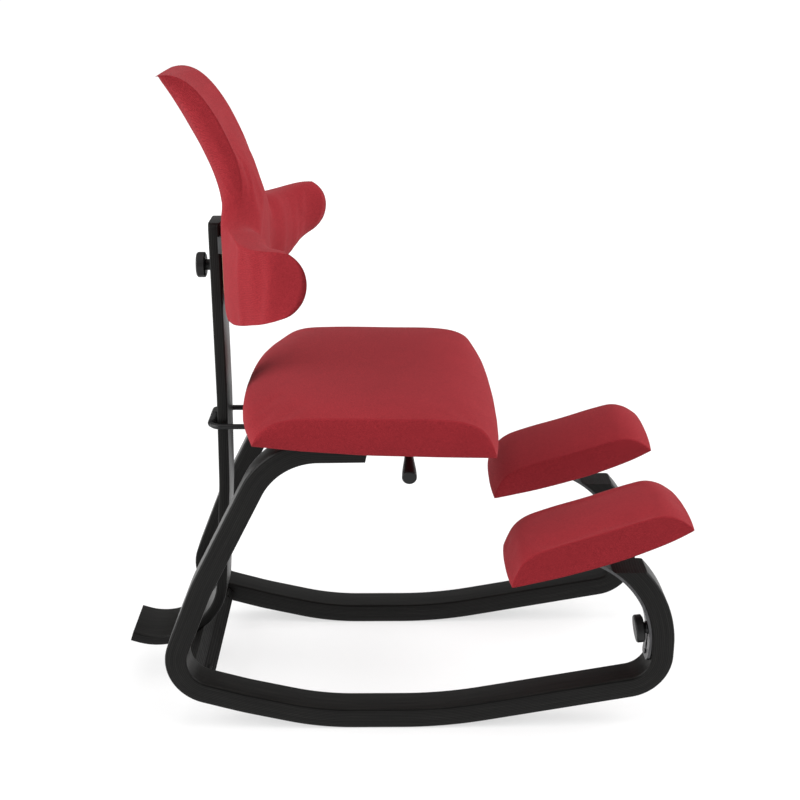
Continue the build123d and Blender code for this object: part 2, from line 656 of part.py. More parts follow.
# cushion: a tall narrow spine and two wings that curl forward
SPINE_HALF = 70.0
SP_REAR = [(-204.5, 607), (-204.5, 700), (-204.0, 760), (-204.5, 785), (-212, 816), (-226, 849), (-244, 886), (-262, 914), (-280, 937)]
SP_FRONT = [(-280, 937), (-266, 941), (-246, 936), (-226, 919), (-205, 891), (-187, 856), (-174, 826), (-160, 789), (-148, 755),
            (-141, 700), (-147, 648), (-160, 618), (-176, 607)]
WING_Z0, WING_Z1 = 636.0, 740.0
WING_OUT = [(-204.5, 0), (-203.5, 60), (-199, 105), (-189, 145), (-173, 185), (-150, 216), (-122, 240), (-98, 251), (-78, 255)]
WING_IN = [(-78, 255), (-73, 248), (-74, 232), (-84, 214), (-104, 196), (-126, 172), (-139, 135), (-143, 80), (-142, 0)]
with BuildPart() as bc:
    with BuildSketch(Plane.XZ.offset(-SPINE_HALF)):
        with BuildLine():
            Spline(*PP(SP_REAR[2:]))
            Polyline(*PP(SP_REAR[:3]))
            Spline(*PP(SP_FRONT[:-1]))
            Line(P(*SP_FRONT[-2]), P(*SP_FRONT[-1]))
            Line(P(*SP_FRONT[-1]), P(*SP_REAR[0]))
        make_face()
    extrude(amount=2 * SPINE_HALF)
    with BuildSketch(Plane.XY.offset(WING_Z0)):
        with BuildLine():
            Spline(*[(x + XO, y) for x, y in WING_OUT])
            Spline(*[(x + XO, y) for x, y in WING_IN])
            Line((WING_IN[-1][0] + XO, 0), (WING_OUT[0][0] + XO, 0))
        make_face()
        mirror(about=Plane.XZ)
    extrude(amount=WING_Z1 - WING_Z0)
    # lower middle, below the wings
    with BuildSketch(Plane.YZ.offset(-204.5 + XO)):
        with BuildLine():
            Polyline((-196, 700), (-196, 636), (-130, 616), (-60, 607), (60, 607), (130, 616), (196, 636), (196, 700), close=True)
        make_face()
    extrude(amount=70)
    # the back of the lower middle is curved like the wings
    with BuildPart(mode=Mode.PRIVATE) as hull:
        with BuildSketch(Plane.XY.offset(590)):
            with BuildLine():
                Spline(*[(x + XO, y) for x, y in WING_OUT])
                Spline(*[(x + XO, y) for x, y in WING_IN])
                Line((WING_IN[-1][0] + XO, 0), (WING_OUT[0][0] + XO, 0))
            make_face()
            mirror(about=Plane.XZ)
        extrude(amount=50 + 60)
        with BuildSketch(Plane.XY.offset(700)):
            Rectangle(900, 700)
        extrude(amount=300)
    add(hull.part, mode=Mode.INTERSECT)
    # rounded lobes: the front of each wing is cut round in side view
    with BuildPart(mode=Mode.PRIVATE) as rnd:
        with BuildSketch(Plane.XZ.offset(-300)):
            with BuildLine():
                Polyline(*PP([(-119, 790), (-40, 790), (-40, 600), (-119, 600), (-119, 648.0)]))
                ThreePointArc(P(-119, 648.0), P(-72.8, 694.2), P(-119, 740.4))
                Line(P(-119, 740.4), P(-119, 790))
            make_face()
        extrude(amount=600)
    add(rnd.part, mode=Mode.SUBTRACT)
    # pocket for the board
    with BuildSketch(Plane.YZ.offset(BBOARD_X0 + XO)):
        with Locations((0, 680)):
            RectangleRounded(150, 96, 18)
        with Locations((0, 770)):
            RectangleRounded(92, 130, 18)
    extrude(amount=BBOARD_T, mode=Mode.SUBTRACT)
    # opening in the rear cover for the bracket
    with BuildSketch(Plane.YZ.offset(BBOARD_X0 + 2 + XO)):
        with Locations((0, (BRK_Z0 + BRK_Z1) / 2)):
            Rectangle(74, BRK_Z1 - BRK_Z0 + 8)
    extrude(amount=-40, mode=Mode.SUBTRACT)
ALL["backrest_cushion"] = finish(bc, "backrest_cushion")

# knob behind the stem
STEM_BACK = STEM_FRONT - STEM_T


with BuildPart() as bk:
    # drawn in side view and turned about the axis; local x runs rearwards
    ax_o = (STEM_BACK + XO, 0, BACK_KNOB_Z)
    with BuildSketch(Plane(origin=ax_o, x_dir=(-1, 0, 0), z_dir=(0, 1, 0))):
        with BuildLine():
            Polyline((2.6, 0), (2.6, 8.0), (9.2, 8.0), (9.2, 15.5), (11.0, 18.4), (20.4, 18.4), (22.4, 16.6), (22.8, 12.0), (22.2, 0), close=True)
        make_face()
    revolve(axis=Axis(ax_o, (1, 0, 0)))
    with BuildSketch(Plane.YZ.offset(STEM_BACK - 14 + XO)):
        with Locations((0, BACK_KNOB_Z)):
            Circle(STUD_R)
    extrude(amount=20, mode=Mode.SUBTRACT)
ALL["backrest_knob"] = finish(bk, "backrest_knob")

with BuildPart() as bst:
    with BuildSketch(Plane.YZ.offset(STEM_BACK - 14 + XO)):
        with Locations((0, BACK_KNOB_Z)):
            Circle(STUD_R)
    extrude(amount=STUD_END - STEM_BACK + 14)
ALL["backrest_stud"] = finish(bst, "backrest_stud")

with BuildPart() as bw:
    with BuildSketch(Plane.YZ.offset(STEM_BACK - 2.6 + XO)):
        with Locations((0, BACK_KNOB_Z)):
            Circle(11.0)
            Circle(STUD_R, mode=Mode.SUBTRACT)
    extrude(amount=2.6 - SIDE_GAP)
ALL["backrest_washer"] = finish(bw, "backrest_washer")

# ---------------------------------------------------------------------------
# Knee pads, one on each side frame
# ---------------------------------------------------------------------------
PAD_TOP = [(198.5, 256.5), (204, 272), (214, 292), (230, 306), (262, 319), (320, 337), (380, 357), (406, 363), (428, 358), (450.5, 343.0)]
PAD_BOT = [(450.5, 343.0), (420, 326), (370, 304.5), (333, 291.5), (270, 273), (230, 263.5), (198.5, 256.5)]
# strap: from its lower end up the bend, off the bend and back along the pad's underside
LEAVE = bend_pt(STRAP_RO, STRAP_A1)
TAN = (-sin(radians(STRAP_A1)), cos(radians(STRAP_A1)))
UNDER_SLOPE = 15.0
UNDER = (-cos(radians(UNDER_SLOPE)), -sin(radians(UNDER_SLOPE)))
STRAP_CORNER = (LEAVE[0] + 45.0 * TAN[0], LEAVE[1] + 45.0 * TAN[1])
STRAP_END = (STRAP_CORNER[0] + 60.0 * UNDER[0], STRAP_CORNER[1] + 60.0 * UNDER[1])
KNEE_SCREWS = [14.0, 46.0]     # distance back from the strap's corner
KB_T = 8.0


def strap_section():
    """Closed side-view outline of the bent strap."""
    with BuildLine(mode=Mode.PRIVATE) as ln:
        aout = CenterArc(P(*BEND_C), STRAP_RO, STRAP_A0, STRAP_A1 - STRAP_A0)
        ain = CenterArc(P(*BEND_C), STRAP_RI, STRAP_A0, STRAP_A1 - STRAP_A0)
        Line(aout @ 0, ain @ 0)
        up = [LEAVE, STRAP_CORNER, STRAP_END]
        lo = offset_left(up, STRAP_T)
        o = FilletPolyline(*PP(up), radius=22.0)
        i = FilletPolyline(*PP(lo), radius=22.0 - STRAP_T)
        Line(o @ 1, i @ 1)
    return ln


for side, tag in ((1, "left"), (-1, "right")):
    yc = side * FRAME_MID

    def y_plane(y):
        return Plane.XZ.offset(-y)

    with BuildPart() as kb:
        with BuildSketch(y_plane(yc + STRAP_W / 2)):
            add(strap_section().edges())
            make_face()
        extrude(amount=STRAP_W)
        # rounded lower end
        fillet(kb.edges().filter_by(lambda e: abs(abs(e.center().Y - yc) - STRAP_W / 2) < 0.01 and e.length < STRAP_T + 0.1
                                    and e.center().Z < 120), radius=9)
        # slot for the knob's stud
        for a in (SLOT_A0, SLOT_A1):
            aa = radians(a)
            pl = Plane(origin=(BEND_C[0] + XO, yc, BEND_C[1]), x_dir=(0, 1, 0), z_dir=(cos(aa), 0, sin(aa)))
            with BuildSketch(pl.offset(STRAP_RI - 5)):
                Circle(STUD_R + 0.4)
            extrude(amount=20, mode=Mode.SUBTRACT)
        with BuildSketch(y_plane(yc + STUD_R + 0.4)):
            with BuildLine():
                Polyline(*PP([bend_pt(STRAP_RI - 6, SLOT_A0), bend_pt(STRAP_RI - 6, SLOT_A1),
                              bend_pt(STRAP_RO + 8, SLOT_A1), bend_pt(STRAP_RO + 8, SLOT_A0)]), close=True)
            make_face()
        extrude(amount=2 * (STUD_R + 0.4), mode=Mode.SUBTRACT)
        # screw hole near the lower end
        aa = radians(-8.3)
        scr_pl = Plane(origin=(BEND_C[0] + XO, yc, BEND_C[1]), x_dir=(0, 1, 0), z_dir=(cos(aa), 0, sin(aa)))
        with BuildSketch(scr_pl.offset(STRAP_RI - 5)):
            Circle(2.0)
        extrude(amount=20, mode=Mode.SUBTRACT)
        # screw holes under the pad
        under_pls = []
        for d in KNEE_SCREWS:
            o = (STRAP_CORNER[0] + d * UNDER[0] + XO, yc, STRAP_CORNER[1] + d * UNDER[1])
            # normal of the strap's upper face here
            n = (-sin(radians(UNDER_SLOPE)), 0, cos(radians(UNDER_SLOPE)))
            under_pls.append(Plane(origin=o, x_dir=(0, 1, 0), z_dir=n))
            for dy in (10.0, -10.0):
                with BuildSketch(under_pls[-1].offset(-10)):
                    with Locations((dy, 0)):
                        Circle(2.25)
                extrude(amount=20, mode=Mode.SUBTRACT)
    ALL["knee_bracket_" + tag] = finish(kb, "knee_bracket_" + tag)

    # the pad leans inwards: turned about the line where it meets the strap
    rock = Axis((0, yc, STRAP_CORNER[1]), (1, 0, 0))
    roll = side * PAD_ROLL

    # plywood base
    with BuildPart() as kbd:
        with BuildSketch(y_plane(yc + 56)):
            with BuildLine():
                Polyline(*PP([(230, 267.9), (300, 286.6), (345, 300.4), (410, 327.0), (407, 335.0), (342, 308.4), (298, 294.6), (228, 275.8)]), close=True)
            make_face()
        extrude(amount=112)
    base = kbd.part.rotate(rock, roll)
    with BuildPart() as kbd2:
        add(base)
        add(kb.part, mode=Mode.SUBTRACT)
        for pl in under_pls:
            for dy in (10.0, -10.0):
                with BuildSketch(pl.offset(-10)):
                    with Locations((dy, 0)):
                        Circle(2.25)
                extrude(amount=10 + 6.5, mode=Mode.SUBTRACT)
    ALL["knee_board_" + tag] = finish(kbd2, "knee_board_" + tag)

    with BuildPart() as ks:
        for pl in under_pls:
            for dy in (10.0, -10.0):
                with BuildSketch(pl.offset(-STRAP_T - 2.0)):
                    with Locations((dy, 0)):
                        Circle(4.2)
                extrude(amount=2.0)
                with BuildSketch(pl.offset(-STRAP_T - 0.01)):
                    with Locations((dy, 0)):
                        Circle(2.25)
                extrude(amount=STRAP_T + 6.0)
    ALL["knee_screws_" + tag] = finish(ks, "knee_screws_" + tag)

    with BuildPart() as kc0:
        with BuildSketch(y_plane(yc + PAD_HALF_W)):
            with BuildLine():
                Spline(*PP(PAD_TOP))
                Spline(*PP(PAD_BOT))
            make_face()
        extrude(amount=2 * PAD_HALF_W)
    padsolid = kc0.part.rotate(rock, roll)
    with BuildPart() as kc:
        add(padsolid)
        add(base, mode=Mode.SUBTRACT)
        # opening in the underside for the strap and its screws
        with BuildSketch(y_plane(yc + STRAP_W / 2 + 1.5)):
            with BuildLine():
                xa, xb = STRAP_END[0] - 2, STRAP_CORNER[0] + 26
                sl = tan(radians(UNDER_SLOPE))
                Polyline(*PP([(xa, 230), (xa, 289.6 + sl * (xa - 300)), (300, 289.6), (xb, 289.6 + 0.3067 * (xb - 300)), (xb, 230)]), close=True)
            make_face()
        extrude(amount=STRAP_W + 3, mode=Mode.SUBTRACT)
    ALL["knee_cushion_" + tag] = finish(kc, "knee_cushion_" + tag)

    with BuildPart() as ss:
        # the head stops just short of the strap's curved inner face
        with BuildSketch(scr_pl.offset(STRAP_RI - 1.66)):
            Circle(3.6)
        extrude(amount=1.6)
        with BuildSketch(scr_pl.offset(STRAP_RI - 0.07)):
            Circle(2.0)
        extrude(amount=STRAP_T - 0.14)
    ALL["strap_screw_" + tag] = finish(ss, "strap_screw_" + tag)

    # clamp knob on the inside of the bend, its stud and the insert in the frame
    kp = knee_axis_plane(side)
    a = radians(KNEE_KNOB_ANG)
    axd = (cos(a), 0, sin(a))
    org = (BEND_C[0] + XO, yc, BEND_C[1])
    with BuildPart() as kk:
        with BuildSketch(Plane(origin=org, x_dir=axd, z_dir=(0, -1, 0))):
            with BuildLine():
                r1 = STRAP_RI - 2.3
                Polyline((123.6, 0), (123.2, 12.0), (123.6, 18.6), (125.4, KNOB_R), (134.4, KNOB_R), (136.6, 17.0), (136.6, 7.8), (r1, 7.8), (r1, 0), close=True)
            make_face()
        revolve(axis=Axis(org, axd))
        with BuildSketch(kp.offset(129)):
            Circle(STUD_R)
        extrude(amount=30, mode=Mode.SUBTRACT)
    ALL["knee_knob_" + tag] = finish(kk, "knee_knob_" + tag)

    with BuildPart() as kst:
        with BuildSketch(kp.offset(129)):
            Circle(STUD_R)
        extrude(amount=BEND_RI + 15.0 - 129)
    ALL["knee_stud_" + tag] = finish(kst, "knee_stud_" + tag)

    with BuildPart() as kw:
        with BuildSketch(kp.offset(STRAP_RI - 2.3)):
            Circle(9.5)
            Circle(STUD_R, mode=Mode.SUBTRACT)
        extrude(amount=1.65)
    ALL["knee_washer_" + tag] = finish(kw, "knee_washer_" + tag)

with BuildPart() as ins:
    for side in (1, -1):
        with BuildSketch(knee_axis_plane(side).offset(BEND_RI + 0.6)):
            Circle(INSERT_R)
            Circle(STUD_R + RUN_GAP, mode=Mode.SUBTRACT)
        extrude(amount=INSERT_L - 0.6)
ALL["knee_inserts"] = finish(ins, "knee_inserts")

xs = [(p.bounding_box().min.X, p.bounding_box().max.X) for p in ALL.values()]
ys = [(p.bounding_box().min.Y, p.bounding_box().max.Y) for p in ALL.values()]
zs = [(p.bounding_box().min.Z, p.bounding_box().max.Z) for p in ALL.values()]
x0, x1 = min(a for a, b in xs), max(b for a, b in xs)
y0, y1 = min(a for a, b in ys), max(b for a, b in ys)
z0, z1 = min(a for a, b in zs), max(b for a, b in zs)
print(f"box X {x0:.2f} {x1:.2f} centre {(x0+x1)/2:.2f}  Y {y0:.2f} {y1:.2f}  Z {z0:.2f} {z1:.2f}")
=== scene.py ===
import bpy, bmesh, json, math
import numpy as np
from mathutils import Vector, Matrix
from math import sin, cos, tan, radians, hypot, pi, sqrt


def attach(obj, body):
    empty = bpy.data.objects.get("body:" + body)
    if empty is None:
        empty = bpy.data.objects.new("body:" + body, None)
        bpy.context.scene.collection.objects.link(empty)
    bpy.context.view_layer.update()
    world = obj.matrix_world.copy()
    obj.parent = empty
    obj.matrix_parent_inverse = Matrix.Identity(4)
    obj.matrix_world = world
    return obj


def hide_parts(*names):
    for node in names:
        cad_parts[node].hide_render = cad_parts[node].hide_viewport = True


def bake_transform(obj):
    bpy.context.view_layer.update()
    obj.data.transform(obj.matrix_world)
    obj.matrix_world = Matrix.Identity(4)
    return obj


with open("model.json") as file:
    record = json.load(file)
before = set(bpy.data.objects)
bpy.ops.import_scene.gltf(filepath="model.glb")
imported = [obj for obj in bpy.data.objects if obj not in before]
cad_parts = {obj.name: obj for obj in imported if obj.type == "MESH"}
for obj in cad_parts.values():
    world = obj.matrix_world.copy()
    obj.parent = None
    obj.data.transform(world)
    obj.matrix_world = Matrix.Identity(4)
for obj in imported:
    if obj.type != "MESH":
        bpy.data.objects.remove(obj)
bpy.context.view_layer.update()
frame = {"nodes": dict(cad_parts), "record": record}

MM = 0.001
XO = -36.25                      # side-view x (mm) to the row frame's X
scene = bpy.context.scene
nodes = frame["nodes"]


# --------------------------------------------------------------------------
# small helpers
# --------------------------------------------------------------------------
def link(o):
    scene.collection.objects.link(o)
    return o


def new_mesh(name, verts_mm, faces, uvs=None, smooth=True):
    """verts in side-view millimetres (x, y, z); uvs one list per face."""
    me = bpy.data.meshes.new(name)
    me.from_pydata([((v[0] + XO) * MM, v[1] * MM, v[2] * MM) for v in verts_mm], [], faces)
    if uvs is not None:
        layer = me.uv_layers.new(name="UVMap")
        k = 0
        for f in uvs:
            for uv in f:
                layer.data[k].uv = uv
                k += 1
    me.validate()
    me.update()
    if smooth:
        for p in me.polygons:
            p.use_smooth = True
    return link(bpy.data.objects.new(name, me))


def apply_mods(o):
    dg = bpy.context.evaluated_depsgraph_get()
    me = bpy.data.meshes.new_from_object(o.evaluated_get(dg), preserve_all_data_layers=True, depsgraph=dg)
    o.modifiers.clear()
    old = o.data
    o.data = me
    bpy.data.meshes.remove(old)


def recalc(o):
    bm = bmesh.new()
    bm.from_mesh(o.data)
    bmesh.ops.recalc_face_normals(bm, faces=bm.faces)
    bm.to_mesh(o.data)
    bm.free()


def coords(o):
    a = np.zeros(len(o.data.vertices) * 3)
    o.data.vertices.foreach_get("co", a)
    return a.reshape(-1, 3)


def set_coords(o, a):
    o.data.vertices.foreach_set("co", np.asarray(a, float).ravel())
    o.data.update()


def lerp_table(t, tab):
    """Linear interpolation in a table of (key, value...) rows, sorted by key."""
    tab = np.asarray(tab, float)
    return np.array([np.interp(t, tab[:, 0], tab[:, k]) for k in range(1, tab.shape[1])]).T


def smooth_curve(pts, n):
    """Points along a Catmull-Rom curve through pts, evenly spaced by length."""
    P = np.asarray(pts, float)
    P = np.vstack([2 * P[0] - P[1], P, 2 * P[-1] - P[-2]])
    out = []
    for i in range(1, len(P) - 2):
        p0, p1, p2, p3 = P[i - 1:i + 3]
        a = [0.0]
        for u, v in ((p0, p1), (p1, p2), (p2, p3)):
            a.append(a[-1] + max(1e-6, np.linalg.norm(v - u)) ** 0.5)
        for t in np.linspace(a[1], a[2], 24, endpoint=False):
            A1 = (a[1] - t) / (a[1] - a[0]) * p0 + (t - a[0]) / (a[1] - a[0]) * p1
            A2 = (a[2] - t) / (a[2] - a[1]) * p1 + (t - a[1]) / (a[2] - a[1]) * p2
            A3 = (a[3] - t) / (a[3] - a[2]) * p2 + (t - a[2]) / (a[3] - a[2]) * p3
            B1 = (a[2] - t) / (a[2] - a[0]) * A1 + (t - a[0]) / (a[2] - a[0]) * A2
            B2 = (a[3] - t) / (a[3] - a[1]) * A2 + (t - a[1]) / (a[3] - a[1]) * A3
            out.append((a[2] - t) / (a[2] - a[1]) * B1 + (t - a[1]) / (a[2] - a[1]) * B2)
    out.append(P[-2])
    out = np.array(out)
    L = np.concatenate([[0], np.cumsum(np.linalg.norm(np.diff(out, axis=0), axis=1))])
    t = np.linspace(0, L[-1], n) if np.isscalar(n) else np.asarray(n) * L[-1]
    return np.array([np.interp(t, L, out[:, k]) for k in range(out.shape[1])]).T


# --------------------------------------------------------------------------
# materials
# --------------------------------------------------------------------------
def material(name):
    m = bpy.data.materials.new(name)
    m.use_nodes = True
    nt = m.node_tree
    nt.nodes.clear()
    out = nt.nodes.new("ShaderNodeOutputMaterial")
    b = nt.nodes.new("ShaderNodeBsdfPrincipled")
    nt.links.new(b.outputs[0], out.inputs[0])
    return m, nt, b


def N(nt, kind, **kw):
    n = nt.nodes.new(kind)
    for k, v in kw.items():
        if k in n.inputs:
            n.inputs[k].default_value = v
        else:
            setattr(n, k, v)
    return n


def ramp(nt, src, stops):
    r = nt.nodes.new("ShaderNodeValToRGB")
    nt.links.new(src, r.inputs[0])
    el = r.color_ramp.elements
    while len(el) < len(stops):
        el.new(0.5)
    for e, (p, c) in zip(el, stops):
        e.position = p
        e.color = (*c, 1) if len(c) == 3 else c
    return r.outputs[0]


def mapping(nt, src, scale):
    mp = nt.nodes.new("ShaderNodeMapping")
    mp.inputs["Scale"].default_value = scale
    nt.links.new(src, mp.inputs[0])
    return mp.outputs[0]


def fabric(name, tint=1.0):
    """Fulled wool: short mottled fibres over a fine twill."""
    m, nt, b = material(name)
    co = nt.nodes.new("ShaderNodeTexCoord").outputs["Object"]
    fine = N(nt, "ShaderNodeTexNoise", Scale=1500.0, Detail=3.0, Roughness=0.65)
    nt.links.new(co, fine.inputs["Vector"])
    mid = N(nt, "ShaderNodeTexNoise", Scale=760.0, Detail=2.0, Roughness=0.55)
    nt.links.new(co, mid.inputs["Vector"])
    big = N(nt, "ShaderNodeTexNoise", Scale=26.0, Detail=2.0, Roughness=0.5)
    nt.links.new(co, big.inputs["Vector"])
    wx = N(nt, "ShaderNodeTexWave", Scale=290.0, Distortion=5.0, Detail=2.0)
    wx.bands_direction = "DIAGONAL"
    nt.links.new(co, wx.inputs["Vector"])
    mix1 = N(nt, "ShaderNodeMath", operation="MULTIPLY_ADD")
    nt.links.new(fine.outputs[0], mix1.inputs[0])
    mix1.inputs[1].default_value = 0.42
    mul = N(nt, "ShaderNodeMath", operation="MULTIPLY")
    nt.links.new(mid.outputs[0], mul.inputs[0])
    mul.inputs[1].default_value = 0.46
    nt.links.new(mul.outputs[0], mix1.inputs[2])
    add2 = N(nt, "ShaderNodeMath", operation="MULTIPLY_ADD")
    nt.links.new(wx.outputs["Fac"], add2.inputs[0])
    add2.inputs[1].default_value = 0.12
    nt.links.new(mix1.outputs[0], add2.inputs[2])
    c = ramp(nt, add2.outputs[0], [(0.36, (0.150 * tint, 0.0104, 0.0148)), (0.50, (0.228 * tint, 0.0170, 0.0226)), (0.64, (0.316 * tint, 0.0260, 0.0332))])
    hue = N(nt, "ShaderNodeMix", data_type="RGBA", blend_type="MULTIPLY")
    hue.inputs[0].default_value = 0.35
    nt.links.new(c, hue.inputs[6])
    nt.links.new(ramp(nt, big.outputs[0], [(0.35, (0.90, 0.90, 0.90)), (0.65, (1.0, 1.0, 1.0))]), hue.inputs[7])
    nt.links.new(hue.outputs[2], b.inputs["Base Color"])
    b.inputs["Roughness"].default_value = 0.92
    b.inputs["Specular IOR Level"].default_value = 0.06
    b.inputs["Sheen Weight"].default_value = 0.06
    b.inputs["Sheen Roughness"].default_value = 0.45
    b.inputs["Sheen Tint"].default_value = (1.0, 0.62, 0.62, 1)
    bump = N(nt, "ShaderNodeBump", Strength=0.30, Distance=0.0006)
    nt.links.new(add2.outputs[0], bump.inputs["Height"])
    nt.links.new(bump.outputs[0], b.inputs["Normal"])
    return m


def thread_mat():
    m, nt, b = material("seam_thread")
    co = nt.nodes.new("ShaderNodeTexCoord").outputs["Object"]
    n = N(nt, "ShaderNodeTexNoise", Scale=1800.0, Detail=2.0)
    nt.links.new(co, n.inputs["Vector"])
    nt.links.new(ramp(nt, n.outputs[0], [(0.3, (0.13, 0.012, 0.018)), (0.7, (0.22, 0.020, 0.028))]), b.inputs["Base Color"])
    b.inputs["Roughness"].default_value = 0.9
    b.inputs["Specular IOR Level"].default_value = 0.15
    return m


def laminate(name, use_uv=True):
    """Black-stained beech laminate: veneer layers on the cut sides, long grain on the faces."""
    m, nt, b = material(name)
    tc = nt.nodes.new("ShaderNodeTexCoord")
    obj = tc.outputs["Object"]
    if use_uv:
        uv = tc.outputs["UV"]
        sep = nt.nodes.new("ShaderNodeSeparateXYZ")
        nt.links.new(uv, sep.inputs[0])
        sepo = nt.nodes.new("ShaderNodeSeparateXYZ")
        nt.links.new(obj, sepo.inputs[0])
        comb = nt.nodes.new("ShaderNodeCombineXYZ")
        nt.links.new(sep.outputs[0], comb.inputs[0])
        nt.links.new(sep.outputs[1], comb.inputs[1])
        nt.links.new(sepo.outputs[1], comb.inputs[2])
        vec = comb.outputs[0]
        depth = sep.outputs[1]
    else:
        vec = obj
        sepo = nt.nodes.new("ShaderNodeSeparateXYZ")
        nt.links.new(obj, sepo.inputs[0])
        depth = sepo.outputs[2]
    grain = N(nt, "ShaderNodeTexNoise", Scale=1.0, Detail=5.0, Roughness=0.6)
    nt.links.new(mapping(nt, vec, (14.0, 420.0, 420.0) if use_uv else (420.0, 14.0, 420.0)), grain.inputs["Vector"])
    pores = N(nt, "ShaderNodeTexNoise", Scale=1.0, Detail=2.0, Roughness=0.7)
    nt.links.new(mapping(nt, vec, (60.0, 1600.0, 1600.0) if use_uv else (1600.0, 60.0, 1600.0)), pores.inputs["Vector"])
    wav = N(nt, "ShaderNodeTexNoise", Scale=1.0, Detail=1.0)
    nt.links.new(mapping(nt, vec, (6.0, 30.0, 30.0)), wav.inputs["Vector"])
    # layers: a groove of glue every 2.67 mm
    w = N(nt, "ShaderNodeMath", operation="MULTIPLY_ADD")
    nt.links.new(wav.outputs[0], w.inputs[0])
    w.inputs[1].default_value = 0.0005
    nt.links.new(depth, w.inputs[2])
    ph = N(nt, "ShaderNodeMath", operation="MULTIPLY")
    nt.links.new(w.outputs[0], ph.inputs[0])
    ph.inputs[1].default_value = 1000.0 / 2.667
    fr = N(nt, "ShaderNodeMath", operation="PINGPONG")
    nt.links.new(ph.outputs[0], fr.inputs[0])
    fr.inputs[1].default_value = 0.5
    line = ramp(nt, fr.outputs[0], [(0.0, (2.4, 2.4, 2.3)), (0.10, (1.9, 1.9, 1.85)), (0.22, (0.86, 0.86, 0.86))])
    lay = N(nt, "ShaderNodeTexWhiteNoise", noise_dimensions="1D")
    fl = N(nt, "ShaderNodeMath", operation="ROUND")
    nt.links.new(ph.outputs[0], fl.inputs[0])
    nt.links.new(fl.outputs[0], lay.inputs["W"])
    base = ramp(nt, grain.outputs[0], [(0.30, (0.0032, 0.0031, 0.0030)), (0.60, (0.0062, 0.0060, 0.0057)), (0.85, (0.0110, 0.0106, 0.0100))])
    tone = N(nt, "ShaderNodeMix", data_type="RGBA", blend_type="MULTIPLY")
    tone.inputs[0].default_value = 0.55
    nt.links.new(base, tone.inputs[6])
    nt.links.new(ramp(nt, lay.outputs["Value"], [(0.0, (0.62, 0.62, 0.62)), (1.0, (1.25, 1.25, 1.25))]), tone.inputs[7])
    c2 = N(nt, "ShaderNodeMix", data_type="RGBA", blend_type="MULTIPLY")
    c2.inputs[0].default_value = 0.80
    nt.links.new(tone.outputs[2], c2.inputs[6])
    nt.links.new(line, c2.inputs[7])
    nt.links.new(c2.outputs[2], b.inputs["Base Color"])
    rr = ramp(nt, pores.outputs[0], [(0.3, (0.44, 0.44, 0.44)), (0.7, (0.34, 0.34, 0.34))])
    nt.links.new(rr, b.inputs["Roughness"])
    b.inputs["Specular IOR Level"].default_value = 0.14
    h = N(nt, "ShaderNodeMath", operation="MULTIPLY_ADD")
    nt.links.new(pores.outputs[0], h.inputs[0])
    h.inputs[1].default_value = 0.25
    nt.links.new(line, h.inputs[2])
    bump = N(nt, "ShaderNodeBump", Strength=0.35, Distance=0.0004)
    nt.links.new(h.outputs[0], bump.inputs["Height"])
    nt.links.new(bump.outputs[0], b.inputs["Normal"])
    return m


def plywood():
    m, nt, b = material("birch_ply")
    co = nt.nodes.new("ShaderNodeTexCoord").outputs["Object"]
    g = N(nt, "ShaderNodeTexNoise", Scale=1.0, Detail=5.0, Roughness=0.6)
    nt.links.new(mapping(nt, co, (12.0, 260.0, 500.0)), g.inputs["Vector"])
    nt.links.new(ramp(nt, g.outputs[0], [(0.3, (0.34, 0.22, 0.12)), (0.7, (0.56, 0.41, 0.26))]), b.inputs["Base Color"])
    b.inputs["Roughness"].default_value = 0.65
    bump = N(nt, "ShaderNodeBump", Strength=0.2, Distance=0.0004)
    nt.links.new(g.outputs[0], bump.inputs["Height"])
    nt.links.new(bump.outputs[0], b.inputs["Normal"])
    return m


def plastic(name, col=(0.008, 0.008, 0.0083), rough=0.42):
    m, nt, b = material(name)
    co = nt.nodes.new("ShaderNodeTexCoord").outputs["Object"]
    g = N(nt, "ShaderNodeTexNoise", Scale=900.0, Detail=2.0)
    nt.links.new(co, g.inputs["Vector"])
    v = N(nt, "ShaderNodeTexNoise", Scale=40.0, Detail=2.0)
    nt.links.new(co, v.inputs["Vector"])
    nt.links.new(ramp(nt, v.outputs[0], [(0.3, tuple(0.85 * c for c in col)), (0.7, tuple(1.15 * c for c in col))]), b.inputs["Base Color"])
    nt.links.new(ramp(nt, g.outputs[0], [(0.3, (rough + 0.08,) * 3), (0.7, (rough - 0.05,) * 3)]), b.inputs["Roughness"])
    b.inputs["Specular IOR Level"].default_value = 0.25
    bump = N(nt, "ShaderNodeBump", Strength=0.12, Distance=0.0002)
    nt.links.new(g.outputs[0], bump.inputs["Height"])
    nt.links.new(bump.outputs[0], b.inputs["Normal"])
    return m


def metal(name, col, rough, metallic=1.0, brush=True):
    m, nt, b = material(name)
    co = nt.nodes.new("ShaderNodeTexCoord").outputs["Object"]
    g = N(nt, "ShaderNodeTexNoise", Scale=1.0, Detail=4.0, Roughness=0.6)
    nt.links.new(mapping(nt, co, (300.0, 1200.0, 60.0) if brush else (500.0, 500.0, 500.0)), g.inputs["Vector"])
    nt.links.new(ramp(nt, g.outputs[0], [(0.3, tuple(0.82 * c for c in col)), (0.7, tuple(min(1.0, 1.12 * c) for c in col))]), b.inputs["Base Color"])
    nt.links.new(ramp(nt, g.outputs[0], [(0.3, (rough + 0.1,) * 3), (0.7, (max(0.05, rough - 0.06),) * 3)]), b.inputs["Roughness"])
    b.inputs["Metallic"].default_value = metallic
    bump = N(nt, "ShaderNodeBump", Strength=0.1, Distance=0.0002)
    nt.links.new(g.outputs[0], bump.inputs["Height"])
    nt.links.new(bump.outputs[0], b.inputs["Normal"])
    return m


